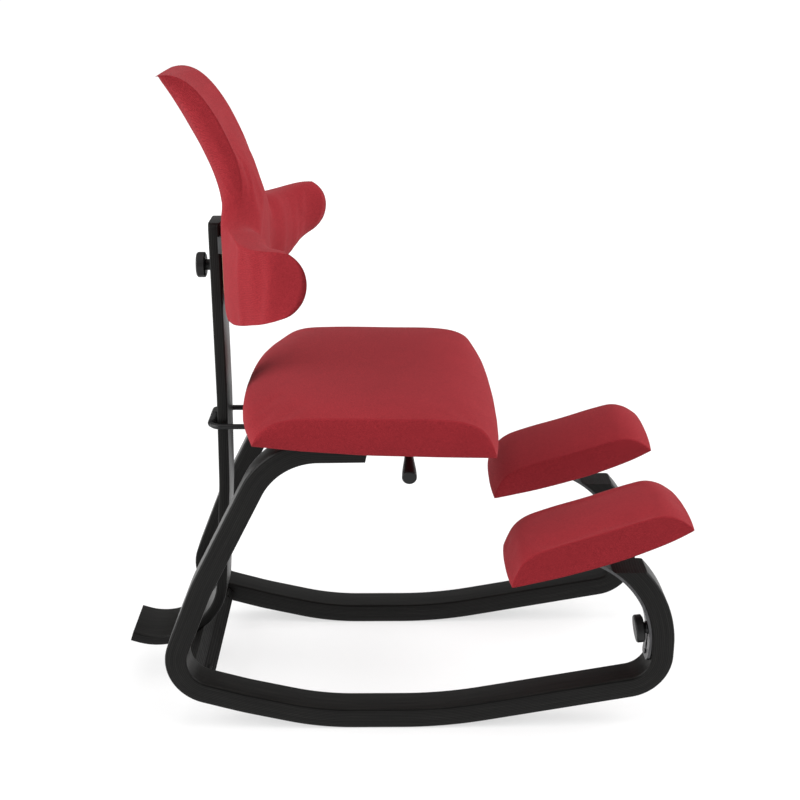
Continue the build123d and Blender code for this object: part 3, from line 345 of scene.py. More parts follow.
M_FAB = fabric("red_wool")
M_THREAD = thread_mat()
M_LAM = laminate("black_laminate", True)
M_BOARD = laminate("black_board", False)
M_PLY = plywood()
M_PLASTIC = plastic("black_plastic")
M_BLACKSTEEL = metal("black_powder_steel", (0.010, 0.010, 0.0105), 0.38, 0.0, False)
M_BLACKSTEEL.node_tree.nodes["Principled BSDF"].inputs["Specular IOR Level"].default_value = 0.3
M_ZINC = metal("zinc_steel", (0.085, 0.085, 0.088), 0.34)
M_DARKSTEEL = metal("black_zinc_steel", (0.030, 0.030, 0.032), 0.32, 0.9, False)

BY_SLOT = {"stained_wood": M_BOARD, "plywood": M_PLY, "red_fabric": M_FAB, "black_plastic": M_PLASTIC,
           "black_steel": M_BLACKSTEEL, "zinc_steel": M_ZINC, "dark_steel": M_DARKSTEEL}
for sp in frame["record"]["subparts"]:
    o = nodes[sp["node"]]
    m = BY_SLOT[sp["material_slot"]]
    if not o.material_slots:
        o.data.materials.append(m)
    for s in o.material_slots:
        s.material = M_BOARD if sp["node"] == "board_dowels" else m


# --------------------------------------------------------------------------
# bent laminates
# --------------------------------------------------------------------------
def fillet_path(pts, radii, step=6.0):
    """Sampled polyline with rounded corners: arrays of points and unit directions."""
    P = [np.array(p, float) for p in pts]
    out, dirs = [], []

    def run(a, b):
        L = np.linalg.norm(b - a)
        d = (b - a) / L
        for t in np.arange(0, L, step * 2.0):
            out.append(a + d * t)
            dirs.append(d)

    cur = P[0]
    for i in range(1, len(P) - 1):
        d1 = (P[i] - P[i - 1]) / np.linalg.norm(P[i] - P[i - 1])
        d2 = (P[i + 1] - P[i]) / np.linalg.norm(P[i + 1] - P[i])
        turn = math.atan2(d1[0] * d2[1] - d1[1] * d2[0], float(d1 @ d2))
        r = radii[i - 1]
        t = r * tan(abs(turn) / 2)
        a, b = P[i] - d1 * t, P[i] + d2 * t
        if np.linalg.norm(a - cur) > 0.5:
            run(cur, a)
        n = np.array([-d1[1], d1[0]]) * (1 if turn > 0 else -1)
        c = a + n * r
        k = max(3, int(abs(turn) * r / step))
        for j in range(k):
            th = turn * j / k
            R = np.array([[cos(th), -sin(th)], [sin(th), cos(th)]])
            out.append(c + R @ (a - c))
            dirs.append(R @ d1)
        cur = b
    run(cur, P[-1])
    d = (P[-1] - cur) / np.linalg.norm(P[-1] - cur)
    out.append(P[-1])
    dirs.append(d)
    return np.array(out), np.array(dirs)


def round_rect(t, w, r, k=4):
    """Section outline: (depth 0..t, across -w/2..w/2), counter-clockwise, with rounded corners."""
    pts = []
    for cx, cy, a0 in ((t - r, w / 2 - r, 0), (r, w / 2 - r, 90), (r, -w / 2 + r, 180), (t - r, -w / 2 + r, 270)):
        for j in range(k + 1):
            a = radians(a0 + 90.0 * j / k)
            pts.append((cx + r * cos(a), cy + r * sin(a)))
    return np.array(pts)


def sweep(name, path, dirs, section, yc, width=None):
    n, k = len(path), len(section)
    L = np.concatenate([[0], np.cumsum(np.linalg.norm(np.diff(path, axis=0), axis=1))])
    verts, faces, uvs = [], [], []
    w0 = section[:, 1].max()
    for i in range(n):
        nx, nz = -dirs[i][1], dirs[i][0]
        f = 1.0 if width is None else width[i] / w0
        for d, y in section:
            verts.append((path[i][0] + nx * d, yc + y * f, path[i][1] + nz * d))
    for i in range(n - 1):
        for j in range(k):
            j2 = (j + 1) % k
            faces.append((i * k + j, i * k + j2, (i + 1) * k + j2, (i + 1) * k + j))
            uvs.append([(L[i] * MM, section[j][0] * MM), (L[i] * MM, section[j2][0] * MM),
                        (L[i + 1] * MM, section[j2][0] * MM), (L[i + 1] * MM, section[j][0] * MM)])
    for i in (0, n - 1):
        f = tuple(i * k + j for j in range(k))
        faces.append(f if i else f[::-1])
        u = [(L[i] * MM, section[j][0] * MM) for j in range(k)]
        uvs.append(u if i else u[::-1])
    return new_mesh(name, verts, faces, uvs)


FRAME_T, FRAME_W, FRAME_MID = 32.0, 47.0, 157.0
BEND_C, BEND_R = (268.0, 137.0), 178.0
corner = BEND_R * tan(radians(32.0))
t_end = (-sin(radians(64.0)), cos(radians(64.0)))
v7 = (BEND_C[0] + BEND_R, BEND_C[1] + corner)
OUTER = [(2.0, 460.5), (-143.0, 459.0), (-255.9, 236.4), (-323.5, 66.05), (-190.0, 27.2), (-75.0, 0.0), (111.0, 0.0), (446.0, 61.4), v7,
         (v7[0] + corner * t_end[0] * 1.02, v7[1] + corner * t_end[1] * 1.02)]
OUTER_R = [122.0, 300.0, 71.7, 500.0, 430.0, 700.0, 70.0, BEND_R]
SEAT_UNDER = np.array([(-194.0, 472.6), (-88.0, 461.0), (0.0, 454.6), (104.0, 451.6), (196.0, 450.0)])


def seat_z(x):
    return np.interp(x, SEAT_UNDER[:, 0], SEAT_UNDER[:, 1])


def bisect(o, z_mm, x_min_mm):
    """Cuts the front end of a swept bend level, and closes the cut with the UVs of its rim."""
    bm = bmesh.new()
    bm.from_mesh(o.data)
    uvl = bm.loops.layers.uv.active
    lim = (x_min_mm + XO) * MM
    fs = [f for f in bm.faces if all(v.co.x > lim for v in f.verts)]
    geom = list({v for f in fs for v in f.verts}) + list({e for f in fs for e in f.edges}) + fs
    r = bmesh.ops.bisect_plane(bm, geom=geom, dist=1e-6, plane_co=(0, 0, z_mm * MM), plane_no=(0, 0, 1), clear_outer=True)
    loose = [v for v in bm.verts if not v.link_faces]
    bmesh.ops.delete(bm, geom=loose, context="VERTS")
    rim = [e for e in bm.edges if e.is_boundary]
    at = {}
    for e in rim:
        for v in e.verts:
            for l in v.link_loops:
                at[v] = l[uvl].uv.copy()
    made = bmesh.ops.contextual_create(bm, geom=rim)["faces"]
    for face in made:
        for l in face.loops:
            if l.vert in at:
                l[uvl].uv = at[l.vert]
        face.smooth = False
    bmesh.ops.recalc_face_normals(bm, faces=bm.faces)
    bm.to_mesh(o.data)
    bm.free()


def mark_sharp(o, angle=40.0):
    """Flat look across hard edges, smooth elsewhere."""
    bm = bmesh.new()
    bm.from_mesh(o.data)
    for e in bm.edges:
        e.smooth = not (len(e.link_faces) == 2 and e.calc_face_angle(0.0) > radians(angle))
    bm.to_mesh(o.data)
    bm.free()


path, dirs = fillet_path(OUTER, OUTER_R, 5.0)
sec = round_rect(FRAME_T, FRAME_W, 3.5, 5)
for side, tag in ((1, "left"), (-1, "right")):
    o = sweep("bent_frame_" + tag, path, dirs, sec, side * FRAME_MID)
    co = coords(o)
    xs, zs = co[:, 0] / MM - XO, co[:, 2] / MM
    first = np.arange(len(co)) < len(sec)
    xs = np.where(first, 2.0 - (458.0 - zs) * 7.0 / 38.0, xs)
    top = seat_z(xs)
    m = (xs > -150) & (xs < 60) & (zs > top) & (zs > 400)
    zs = np.where(m, top, zs)
    co[:, 0], co[:, 2] = (xs + XO) * MM, zs * MM
    set_coords(o, co)
    bisect(o, 258.0, 300.0)
    mark_sharp(o, 50.0)
    o.data.materials.append(M_LAM)
    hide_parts("side_frame_" + tag)
    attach(o, "chair_frame")

# stem and foot: one bent strip that leans at the lower bend
STRIP = [(-209.0, 732.0), (-209.0, 470.0), (-212.0, 330.0), (-221.0, 205.0), (-228.8, 97.2), (-332.7, 55.3), (-378.0, 70.0)]
path, dirs = fillet_path(STRIP, [600.0, 600.0, 900.0, 100.0, 100.0], 5.0)
L = np.concatenate([[0], np.cumsum(np.linalg.norm(np.diff(path, axis=0), axis=1))])
# finer steps round the top corners
extra = [0.0, 0.25, 0.7, 1.3, 2.2, 3.4, 5.0, 6.6, 8.0]
keep = L > 10.0
s_all = np.concatenate([extra, L[keep]])
path = np.array([np.interp(s_all, L, path[:, k]) for k in (0, 1)]).T
dirs = np.array([np.interp(s_all, L, dirs[:, k]) for k in (0, 1)]).T
half = np.where(s_all < 8.0, 24.0 + np.sqrt(np.maximum(0.0, 8.0 ** 2 - (8.0 - s_all) ** 2)), 32.0)
# the foot widens behind the cross board
fl = np.clip((-262.0 - path[:, 0]) / 38.0, 0.0, 1.0)
half = np.where(path[:, 1] < 150.0, 32.0 + 13.0 * fl * fl * (3 - 2 * fl), half)
sec16 = round_rect(16.0, 64.0, 2.5, 4) - np.array([16.0, 0.0])
strip = sweep("stem_strip", path, dirs, sec16, 0.0, half)
recalc(strip)
slot_cut = []
cut_sec = [(4.5 * cos(a), 4.5 * sin(a)) for a in np.linspace(0, pi, 9)]
ring = [(y, 711.5 + z) for y, z in cut_sec] + [(-y, 622.5 - z) for y, z in cut_sec]
vs = [(-235.0, y, z) for y, z in ring] + [(-200.0, y, z) for y, z in ring]
nr = len(ring)
fs = [tuple(range(nr)), tuple(range(2 * nr - 1, nr - 1, -1))] + [(i, i + nr, (i + 1) % nr + nr, (i + 1) % nr) for i in range(nr)]
cutter = new_mesh("slot_cutter", vs, fs, smooth=False)
recalc(cutter)
md = strip.modifiers.new("slot", "BOOLEAN")
md.operation, md.solver, md.object = "DIFFERENCE", "EXACT", cutter
apply_mods(strip)
bpy.data.objects.remove(cutter)
mark_sharp(strip, 50.0)
strip.data.materials.append(M_LAM)
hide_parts("back_stem", "stem_foot")
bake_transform(strip)


# --------------------------------------------------------------------------
# upholstery
# --------------------------------------------------------------------------
def cloth_settle(o, pins, pressure=4.0, cap_mm=4.0, stiff=22.0, frames=20, shrink=0.0):
    """Lets the cover tighten over its filling, and keeps how far it moved small."""
    before = coords(o)
    vg = o.vertex_groups.new(name="pin")
    for w in sorted(set(np.round(pins, 3))):
        if w > 0:
            vg.add([int(i) for i in np.nonzero(np.round(pins, 3) == w)[0]], float(w), "REPLACE")
    md = o.modifiers.new("cloth", "CLOTH")
    st = md.settings
    st.quality = 6
    st.mass = 0.35
    st.tension_stiffness = st.compression_stiffness = stiff
    st.shear_stiffness = stiff * 0.6
    st.bending_stiffness = 1.2
    st.tension_damping = st.compression_damping = 12.0
    st.shear_damping = 8.0
    st.bending_damping = 1.0
    st.air_damping = 2.0
    st.use_pressure = True
    st.uniform_pressure_force = pressure
    st.shrink_min = shrink
    st.vertex_group_mass = "pin"
    st.pin_stiffness = 1.0
    st.effector_weights.gravity = 0.0
    md.collision_settings.use_collision = False
    md.collision_settings.use_self_collision = False
    md.point_cache.frame_start, md.point_cache.frame_end = 1, frames
    scene.frame_start, scene.frame_end = 1, frames
    for f in range(1, frames + 1):
        scene.frame_set(f)
    apply_mods(o)
    scene.frame_set(1)
    after = coords(o)
    d = after - before
    n = np.linalg.norm(d, axis=1)
    c = cap_mm * MM
    k = np.where(n > 1e-9, c * np.tanh(n / c) / np.maximum(n, 1e-9), 1.0)
    bad = ~np.isfinite(n)
    d[bad] = 0
    set_coords(o, before + d * np.where(bad, 0.0, k)[:, None])
    o.vertex_groups.clear()
    print("cloth", o.name, "mean %.2f mm max %.2f mm" % (1000 * n[~bad].mean(), 1000 * n[~bad].max()), "bad", int(bad.sum()))


def subdivide(o, levels=1, creases=None, corners=()):
    if creases is not None:
        bm = bmesh.new()
        bm.from_mesh(o.data)
        cl = bm.edges.layers.float.get("crease_edge") or bm.edges.layers.float.new("crease_edge")
        for e in bm.edges:
            key = tuple(sorted((e.verts[0].index, e.verts[1].index)))
            if key in creases:
                e[cl] = creases[key]
        if corners:
            vl = bm.verts.layers.float.get("crease_vert") or bm.verts.layers.float.new("crease_vert")
            bm.verts.ensure_lookup_table()
            for v in corners:
                bm.verts[v][vl] = 1.0
        bm.to_mesh(o.data)
        bm.free()
    md = o.modifiers.new("sub", "SUBSURF")
    md.levels = md.render_levels = levels
    apply_mods(o)


def seam_tube(name, pts_m, r_mm, body, slot, inset=None, k=6):
    """A thin welt of thread lying in a seam: a closed or open tube along pts (metres)."""
    P = np.asarray(pts_m, float)
    n = len(P)
    verts, faces = [], []
    prev = None
    for i in range(n):
        t = P[min(i + 1, n - 1)] - P[max(i - 1, 0)]
        t = t / max(1e-9, np.linalg.norm(t))
        ref = np.array([0, 1.0, 0]) if prev is None else prev
        a = ref - t * (ref @ t)
        if np.linalg.norm(a) < 1e-3:
            a = np.array([1.0, 0, 0]) - t * t[0]
        a /= np.linalg.norm(a)
        prev = a
        b2 = np.cross(t, a)
        for j in range(k):
            th = 2 * pi * j / k
            verts.append(P[i] + r_mm * MM * (cos(th) * a + sin(th) * b2))
    for i in range(n - 1):
        for j in range(k):
            faces.append((i * k + j, i * k + (j + 1) % k, (i + 1) * k + (j + 1) % k, (i + 1) * k + j))
    faces.append(tuple(range(k - 1, -1, -1)))
    faces.append(tuple((n - 1) * k + j for j in range(k)))
    me = bpy.data.meshes.new(name)
    me.from_pydata([tuple(v) for v in verts], [], faces)
    me.update()
    for p in me.polygons:
        p.use_smooth = True
    o = link(bpy.data.objects.new(name, me))
    o.data.materials.append(M_THREAD)
    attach(o, body)
    return o


def wrap_cushion(name, half, ny, rings, side_puff, transform=None, crease=0.86):
    """A cushion in three panels: one wraps from the front underside over the top to the rear
    underside, and a flat panel closes each end. rings(f) gives the closed outline at
    across-position f in -1..1 as (x, y, z) points, first the wrapped part, then the base.
    Returns the object, seam edges and the ring size."""
    fs = np.linspace(-1, 1, ny + 1)
    R = [rings(f) for f in fs]
    k = len(R[0])
    verts = [tuple(p) for r in R for p in r]
    faces = []
    for i in range(ny):
        for j in range(k):
            j2 = (j + 1) % k
            faces.append((i * k + j, (i + 1) * k + j, (i + 1) * k + j2, i * k + j2))
    # end panels: concentric quads towards a middle line
    creases = {}
    ends = []
    for e, i in ((-1, 0), (1, ny)):
        base = i * k
        cur = list(range(base, base + k))
        for j in range(k):
            creases[tuple(sorted((cur[j], cur[(j + 1) % k])))] = crease
        ring0 = np.array(R[i])
        # medial line: midpoints of matching top and base points
        mid = np.array([(ring0[j] + ring0[(k - j) % k]) / 2 for j in range(k)])
        prevr = cur
        steps = 5
        for q in range(1, steps + 1):
            t = q / (steps + 0.0)
            pts = ring0 * (1 - t) + mid * t
            y = ring0[:, 1] + e * side_puff * (1 - (1 - t) ** 2)
            if q == steps:
                # weld the pairs along the middle line
                nr = [None] * k
                for j in range(k):
                    jj = (k - j) % k
                    if nr[jj] is not None:
                        nr[j] = nr[jj]
                    else:
                        nr[j] = len(verts)
                        verts.append((pts[j][0], y[j], pts[j][2]))
            else:
                nr = []
                for j in range(k):
                    nr.append(len(verts))
                    verts.append((pts[j][0], y[j], pts[j][2]))
            for j in range(k):
                j2 = (j + 1) % k
                f = [prevr[j], prevr[j2], nr[j2], nr[j]]
                g = []
                for v in f:
                    if v not in g:
                        g.append(v)
                if len(g) >= 3:
                    faces.append(tuple(g if e > 0 else g[::-1]))
            prevr = nr
        ends.append((base, k))
    if transform is not None:
        verts = [transform(v) for v in verts]
    o = new_mesh(name, verts, faces)
    recalc(o)
    return o, creases, k, len(R)


def pair_ring(top, bot):
    """One closed outline: top from rear to front, then bottom from front to rear, with matching counts."""
    return np.vstack([top, bot[::-1]])


# ---- seat -----------------------------------------------------------------
SEAT_SEAM = [(-155, 467), (-153, 476), (-147, 485), (-133, 496), (-112, 504), (-63, 507), (32, 506), (104, 504.5), (135, 500), (156, 490), (167, 475), (174, 460), (176, 451)]
SEAT_MID = [(-184, 474.5), (-182, 485), (-172, 495.5), (-152, 503.5), (-115, 509.5), (-60, 511.5), (0, 511), (60, 510), (104, 508.5), (142, 502.5), (166, 490.5), (182, 471), (187.5, 455)]
SEAT_BOT = [(-155, 467), (-88, 460), (0, 453), (104, 451), (163, 449), (176, 450)]
NT = 44
SEAM_C = smooth_curve(SEAT_SEAM, NT)
MID_C = smooth_curve(SEAT_MID, NT)


def seat_rings(f):
    a = abs(f)
    y = 214.5 * f
    # plan: rear edge pulls forward and the front edge pulls back towards the sides
    rear = np.interp(a * 218, [0, 45, 90, 130, 170, 195, 210, 218], [-184, -183.2, -180.6, -176, -168, -161.2, -157.2, -155])
    front = np.interp(a * 218, [0, 90, 150, 190, 210, 218], [187.5, 186, 183.4, 179.6, 177, 176])
    w = a ** 2.6
    wz = a ** 3.4
    mid, seam = MID_C.copy(), SEAM_C.copy()
    u = (mid[:, 0] + 184) / (187.5 + 184)
    us = (seam[:, 0] + 155) / (176 + 155)
    uu = u * (1 - w) + us * w
    x = rear + uu * (front - rear)
    z = mid[:, 1] * (1 - wz) + seam[:, 1] * wz
    top = np.stack([x, np.full(NT, y), z], axis=1)
    xb = np.linspace(0, 1, NT)
    xb = top[0, 0] + (top[-1, 0] - top[0, 0]) * (0.5 - 0.5 * np.cos(np.pi * xb))
    zb = np.interp(xb, SEAT_UNDER[:, 0], SEAT_UNDER[:, 1]) - 0.5
    bot = np.stack([xb, np.full(NT, y), zb], axis=1)
    bot[0, 2] = bot[0, 2]
    return pair_ring(top, bot[1:-1])


seat, seat_cr, sk, sn = wrap_cushion("seat_cover", 214.5, 64, seat_rings, 3.0)
print("seat verts", len(seat.data.vertices))
co = coords(seat)
pins = np.zeros(len(co))
zx = co[:, 0] / MM - XO
under = co[:, 2] / MM < seat_z(zx) + 2.0
pins[under] = 1.0
seam_v = sorted({v for e in seat_cr for v in e})
pins[seam_v] = np.maximum(pins[seam_v], 1.0)
cloth_settle(seat, pins, pressure=4.0, cap_mm=4.0)
subdivide(seat, 1, seat_cr)
seat.data.materials.append(M_FAB)
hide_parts("seat_cushion")
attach(seat, "chair_frame")

# ---- knee pads ------------------------------------------------------------
PAD_TOP = [(198.5, 256.5), (204, 272), (214, 292), (230, 306), (262, 319), (320, 337), (380, 357), (406, 363), (428, 358), (450.5, 343)]
PAD_BOT = [(450.5, 343), (420, 326), (370, 304.5), (333, 291.5), (270, 273), (230, 263.5), (198.5, 256.5)]
NP = 40
PT = smooth_curve(PAD_TOP, NP)
PB = smooth_curve(PAD_BOT, NP)[::-1]
ROLL_Z = 286.7


def pad_rings(side):
    def rings(f):
        a = abs(f)
        y = side * FRAME_MID + 71.0 * f
        top = PT.copy()
        # the middle of the pad stands a little higher than its seams, and its ends reach a little further
        t = np.linspace(0, 1, NP)
        bell = np.sin(np.pi * t) ** 0.7
        crown = (1 - a ** 2.4) * (5.5 * bell + 4.5 * (1 - bell))
        d = np.gradient(top, axis=0)
        nrm = np.stack([-d[:, 1], d[:, 0]], axis=1)
        nrm /= np.linalg.norm(nrm, axis=1)[:, None]
        top = top + nrm * crown[:, None]
        tt = np.stack([top[:, 0], np.full(NP, y), top[:, 1]], axis=1)
        # the underside runs between the moved ends
        lo, hi = PB[0], PB[-1]
        k0, k1 = top[0] - lo, top[-1] - hi
        fr = np.linspace(0, 1, NP)[:, None]
        pb = PB + k0 * (1 - fr) ** 3 + k1 * fr ** 3
        bb = np.stack([pb[:, 0], np.full(NP, y), pb[:, 1]], axis=1)
        return pair_ring(tt, bb[1:-1])
    return rings


def roll_about(side):
    ang = radians(3.1) * side
    ca, sa = cos(ang), sin(ang)
    yc = side * FRAME_MID

    def f(v):
        y, z = v[1] - yc, v[2] - ROLL_Z
        return (v[0], yc + y * ca - z * sa, ROLL_Z + y * sa + z * ca)
    return f


for side, tag in ((1, "left"), (-1, "right")):
    pad, cr, pk, pn = wrap_cushion("knee_cover_" + tag, 71.0, 24, pad_rings(side), 1.5, roll_about(side))
    co = coords(pad)
    pins = np.zeros(len(co))
    for i in range(pn):
        for j in range(NP, pk):
            pins[i * pk + j] = 1.0
        pins[i * pk] = pins[i * pk + NP - 1] = 1.0
    pins[sorted({v for e in cr for v in e})] = 1.0
    cloth_settle(pad, pins, pressure=4.0, cap_mm=3.0)
    subdivide(pad, 1, cr)
    pad.data.materials.append(M_FAB)
    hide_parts("knee_cushion_" + tag)
    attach(pad, "knee_pad_" + tag)

# ---- backrest: a rear cover and a front cover sewn together all round ------
SEAM_HALF = [(0, -200, 606), (60, -198, 608), (100, -194, 611), (130, -183, 614), (170, -169, 624), (200, -152, 633), (230, -133, 643), (248, -115, 652), (254, -93, 662), (256, -77, 681), (256, -72, 703), (255, -76, 722), (252.5, -86, 735), (251, -94, 740.5), (247, -105, 741.5), (240, -119, 740.5), (228, -134.5, 738.5), (207, -152, 737), (178, -165.5, 738.5), (150, -172.5, 740), (122, -176, 743.5), (98, -176, 752), (82, -173.5, 762), (73, -171, 774), (70, -170, 790), (70, -171, 806), (70, -175, 827), (70, -187, 857), (70, -205, 892), (70, -226, 920), (70, -245, 935), (70, -265, 940), (70, -279, 937)]
I_ROOT_B, I_TIP_B, I_TIP_T, I_ROOT_T, I_TOP = 2, 7, 13, 21, 32
NC, NW, NB, NU = 9, 16, 16, 26
SH = np.array(SEAM_HALF, float)


def seam_part(a, b, n, power=None):
    return smooth_curve(SH[a:b + 1], n)


B_C = seam_part(0, I_ROOT_B, NC + 1)            # bottom, centre to wing root
B_W = seam_part(I_ROOT_B, I_TIP_B, NW + 1)      # bottom of the wing
T_T = seam_part(I_TIP_B, I_TIP_T, NB + 1)       # round the tip
T_W = seam_part(I_TIP_T, I_ROOT_T, NW + 1)[::-1]  # top of the wing, root to tip
S_U = seam_part(I_ROOT_T, I_TOP, NU + 1)        # up the spine's side

REAR_C = smooth_curve([(-200, 606), (-204, 618), (-205.5, 650), (-206, 714), (-205.6, 750), (-206.3, 764), (-208.5, 778), (-212.5, 792), (-218.5, 809), (-226, 826), (-234.5, 845), (-244.5, 864), (-254.5, 883), (-264.5, 900), (-273, 914), (-279.5, 928), (-281.5, 937)], 300)
FRONT_C = smooth_curve([(-200, 606), (-183, 609), (-166, 618), (-154, 632), (-146, 656), (-141.5, 680), (-140, 705), (-140.5, 735), (-143.5, 764), (-151, 792), (-162, 821), (-174.5, 845), (-187, 863), (-206, 892), (-227, 920), (-246, 934), (-264, 939), (-281, 937)], 300)
WING_OUT = np.array([(0, -204.5), (60, -203.5), (105, -199), (145, -189), (185, -173), (216, -150), (240, -122), (251, -98), (256, -74)], float)


def idx_map():
    ids = {}
    for j in range(NB + NU + 1):
        for i in range(-(NC + NW), NC + NW + 1):
            if j <= NB or abs(i) <= NC:
                ids[(i, j)] = len(ids)
    return ids


IDS = idx_map()
NV = len(IDS)


def on_seam(i, j):
    a = abs(i)
    if j == 0 or a == NC + NW or (j == NB and a >= NC) or (j >= NB and a == NC) or j == NB + NU:
        return True
    return False


def seam_point(i, j):
    a, s = abs(i), (1 if i >= 0 else -1)
    if j == NB + NU:
        y = 70.0 * a / NC
        p = (y, -280.0 + 1.0 * (y / 70.0) ** 2, 937.0)
    elif j >= NB and a == NC:
        p = S_U[j - NB]
    elif a == NC + NW:
        p = T_T[j]
    elif j == NB and a >= NC:
        p = T_W[a - NC]
    else:
        p = B_C[a] if a <= NC else B_W[a - NC]
    return np.array([p[1], s * p[0], p[2]])


def at_arc(curve, t):
    L = np.concatenate([[0], np.cumsum(np.linalg.norm(np.diff(curve, axis=0), axis=1))])
    return np.array([np.interp(t * L[-1], L, curve[:, k]) for k in (0, 1)])


def arc_from(curve, z0, t):
    """Point a fraction t of the way from height z0 to the curve's end, by length."""
    L = np.concatenate([[0], np.cumsum(np.linalg.norm(np.diff(curve, axis=0), axis=1))])
    k = int(np.argmax(curve[:, 1] >= z0))
    s = L[k] + (L[-1] - L[k]) * t
    return np.array([np.interp(s, L, curve[:, c]) for c in (0, 1)])


def rear_centre(j):
    # rows up the middle: the lower block to z 752, then the spine
    if j > NB:
        return arc_from(REAR_C, 752.0, (j - NB) / NU)
    z = np.interp(j, [0, 2, NB], [606, 622, 752])
    return np.array([np.interp(z, REAR_C[:, 1], REAR_C[:, 0]), z])


def front_centre(j):
    if j > NB:
        return arc_from(FRONT_C, 752.0, (j - NB) / NU)
    L = np.concatenate([[0], np.cumsum(np.linalg.norm(np.diff(FRONT_C, axis=0), axis=1))])
    k = int(np.argmax(FRONT_C[:, 1] >= 752.0))
    return at_arc(FRONT_C, L[k] / L[-1] * j / NB)


def wing_offsets(i, j):
    """Rear and front points of a wing station."""
    a = abs(i) - NC
    s = a / NW
    B, T = B_W[a], T_W[a]
    t = j / NB
    # even spacing along the bulged section
    th = math.pi * t
    u = 0.5 - 0.5 * math.cos(th) * abs(math.cos(th)) ** -0.12 if abs(math.cos(th)) > 1e-6 else 0.5
    u = min(1.0, max(0.0, u))
    bulge = max(0.0, 1 - abs(2 * u - 1) ** 2.3) ** (1 / 2.3)
    P = B + (T - B) * u
    ym = P[0]
    xo = np.interp(ym, WING_OUT[:, 0], WING_OUT[:, 1])
    # outward normal in plan
    dx = np.interp(ym + 4, WING_OUT[:, 0], WING_OUT[:, 1]) - np.interp(ym - 4, WING_OUT[:, 0], WING_OUT[:, 1])
    dy = 8.0 if ym < 250 else 3.0
    nl = hypot(dx, dy)
    ox, oy = -dy / nl, dx / nl          # points to the rear and outwards: (-x, +y)
    mid = (B + T) / 2
    xo_m = np.interp(mid[0], WING_OUT[:, 0], WING_OUT[:, 1])
    d_out = max(2.0, min(16.0, mid[1] - xo_m)) * (1 - 0.35 * s)
    rear = np.array([P[1] + ox * d_out * bulge, P[0] + oy * d_out * bulge, P[2]])
    # the front cover swells up from its top seam, over a ridge, and round the inside of the wing
    D = np.interp(s, [0, 0.25, 0.6, 0.85, 1.0], [46, 50, 46, 36, 16])
    zb, zt = B[2], T[2]
    zr = zt + np.interp(s, [0, 0.3, 0.6, 0.9, 1.0], [3.0, 4.0, 4.0, 1.0, 0.0])
    Hh = zr - zb
    sec_ = smooth_curve([(0, zb), (0.50 * D, zb - 1), (0.90 * D, zb + 0.20 * Hh), (1.0 * D, zb + 0.45 * Hh), (0.95 * D, zb + 0.74 * Hh),
                         (0.74 * D, zr - 0.055 * Hh), (0.46 * D, zr), (0.17 * D, zr - 0.35 * (zr - zt) - 1.0), (0, zt)], NB + 1)
    d_, z_ = sec_[j]
    uz = (z_ - zb) / max(1.0, zt - zb)
    uz = min(1.0, max(0.0, uz))
    Pf = B + (T - B) * uz
    inx, iny = -ox, -oy
    front = np.array([Pf[1] + inx * d_, Pf[0] + iny * d_, z_])
    return rear, front


def solve_layer(guides):
    """Fills one cover: fixed seam points, firm guides elsewhere, thin-plate smoothness between."""
    Lm = np.zeros((NV, NV))
    for (i, j), a in IDS.items():
        nb = [IDS[n] for n in ((i - 1, j), (i + 1, j), (i, j - 1), (i, j + 1)) if n in IDS]
        if on_seam(i, j):
            # along the seam the row only ties the two seam neighbours, so the cover may leave it at any angle
            continue
        Lm[a, a] = len(nb)
        for b in nb:
            Lm[a, b] -= 1
    A = Lm.T @ Lm
    rhs = np.zeros((NV, 3))
    for (i, j), a in IDS.items():
        if on_seam(i, j):
            A[a, a] += 1e6
            rhs[a] += 1e6 * seam_point(i, j)
        elif (i, j) in guides:
            w, p = guides[(i, j)]
            A[a, a] += w
            rhs[a] += w * np.asarray(p)
    A += np.eye(NV) * 1e-9
    return np.linalg.solve(A, rhs)


g_rear, g_front = {}, {}
for (i, j) in IDS:
    if on_seam(i, j):
        continue
    a, s = abs(i), (1 if i >= 0 else -1)
    if a > NC + 1:
        r, f = wing_offsets(i, j)
        w = 30.0 if a > NC + 3 else (3.0 if a > NC + 2 else 0.6)
        g_rear[(i, j)] = (w, (r[0], s * r[1], r[2]))
        g_front[(i, j)] = (w, (f[0], s * f[1], f[2]))
    if 0 < a <= NC and j <= NB:
        yb = B_C[a][0]
        yt = 96.0 * a / NC
        q = min(1.0, j / NB)
        y = yb + (yt - yb) * q ** 0.8
        r = rear_centre(j)
        drop = np.interp(y, WING_OUT[:, 0], WING_OUT[:, 1]) + 204.5
        if j >= 2:
            g_rear[(i, j)] = (2.0 if a < NC else 0.5, (r[0] + drop * 0.9, s * y, r[1]))
        f = front_centre(j)
        if j >= 3 and a <= NC - 1:
            g_front[(i, j)] = (0.25, (f[0] - 6.0 * (y / 80.0) ** 2, s * y, f[1]))
    if i == 0:
        r, f = rear_centre(j), front_centre(j)
        g_rear[(i, j)] = (30.0, (r[0], 0, r[1]))
        g_front[(i, j)] = (30.0 if j > NB + 2 or j < 4 else 3.0, (f[0], 0, f[1]))
    elif j > NB + 1:
        wsp = 30.0 if j > NB + 6 else (6.0 if j > NB + 3 else 0.8)
        ph = (a / NC) * pi / 2
        S = S_U[j - NB]
        hw = S[0]
        y = hw * sin(ph) ** 0.98
        q = max(0.0, 1 - (y / hw) ** 2.3) ** (1 / 2.3)
        r = rear_centre(j)
        g_rear[(i, j)] = (wsp, (S[1] + (r[0] - S[1]) * q, s * y, S[2] + (r[1] - S[2]) * q))
        f = front_centre(j)
        yf = hw * a / NC
        qf = 1 - (yf / hw) ** 2.6
        g_front[(i, j)] = (wsp, (S[1] + (f[0] - S[1]) * qf, s * yf, S[2] + (f[1] - S[2]) * qf))
LR, LF = solve_layer(g_rear), solve_layer(g_front)


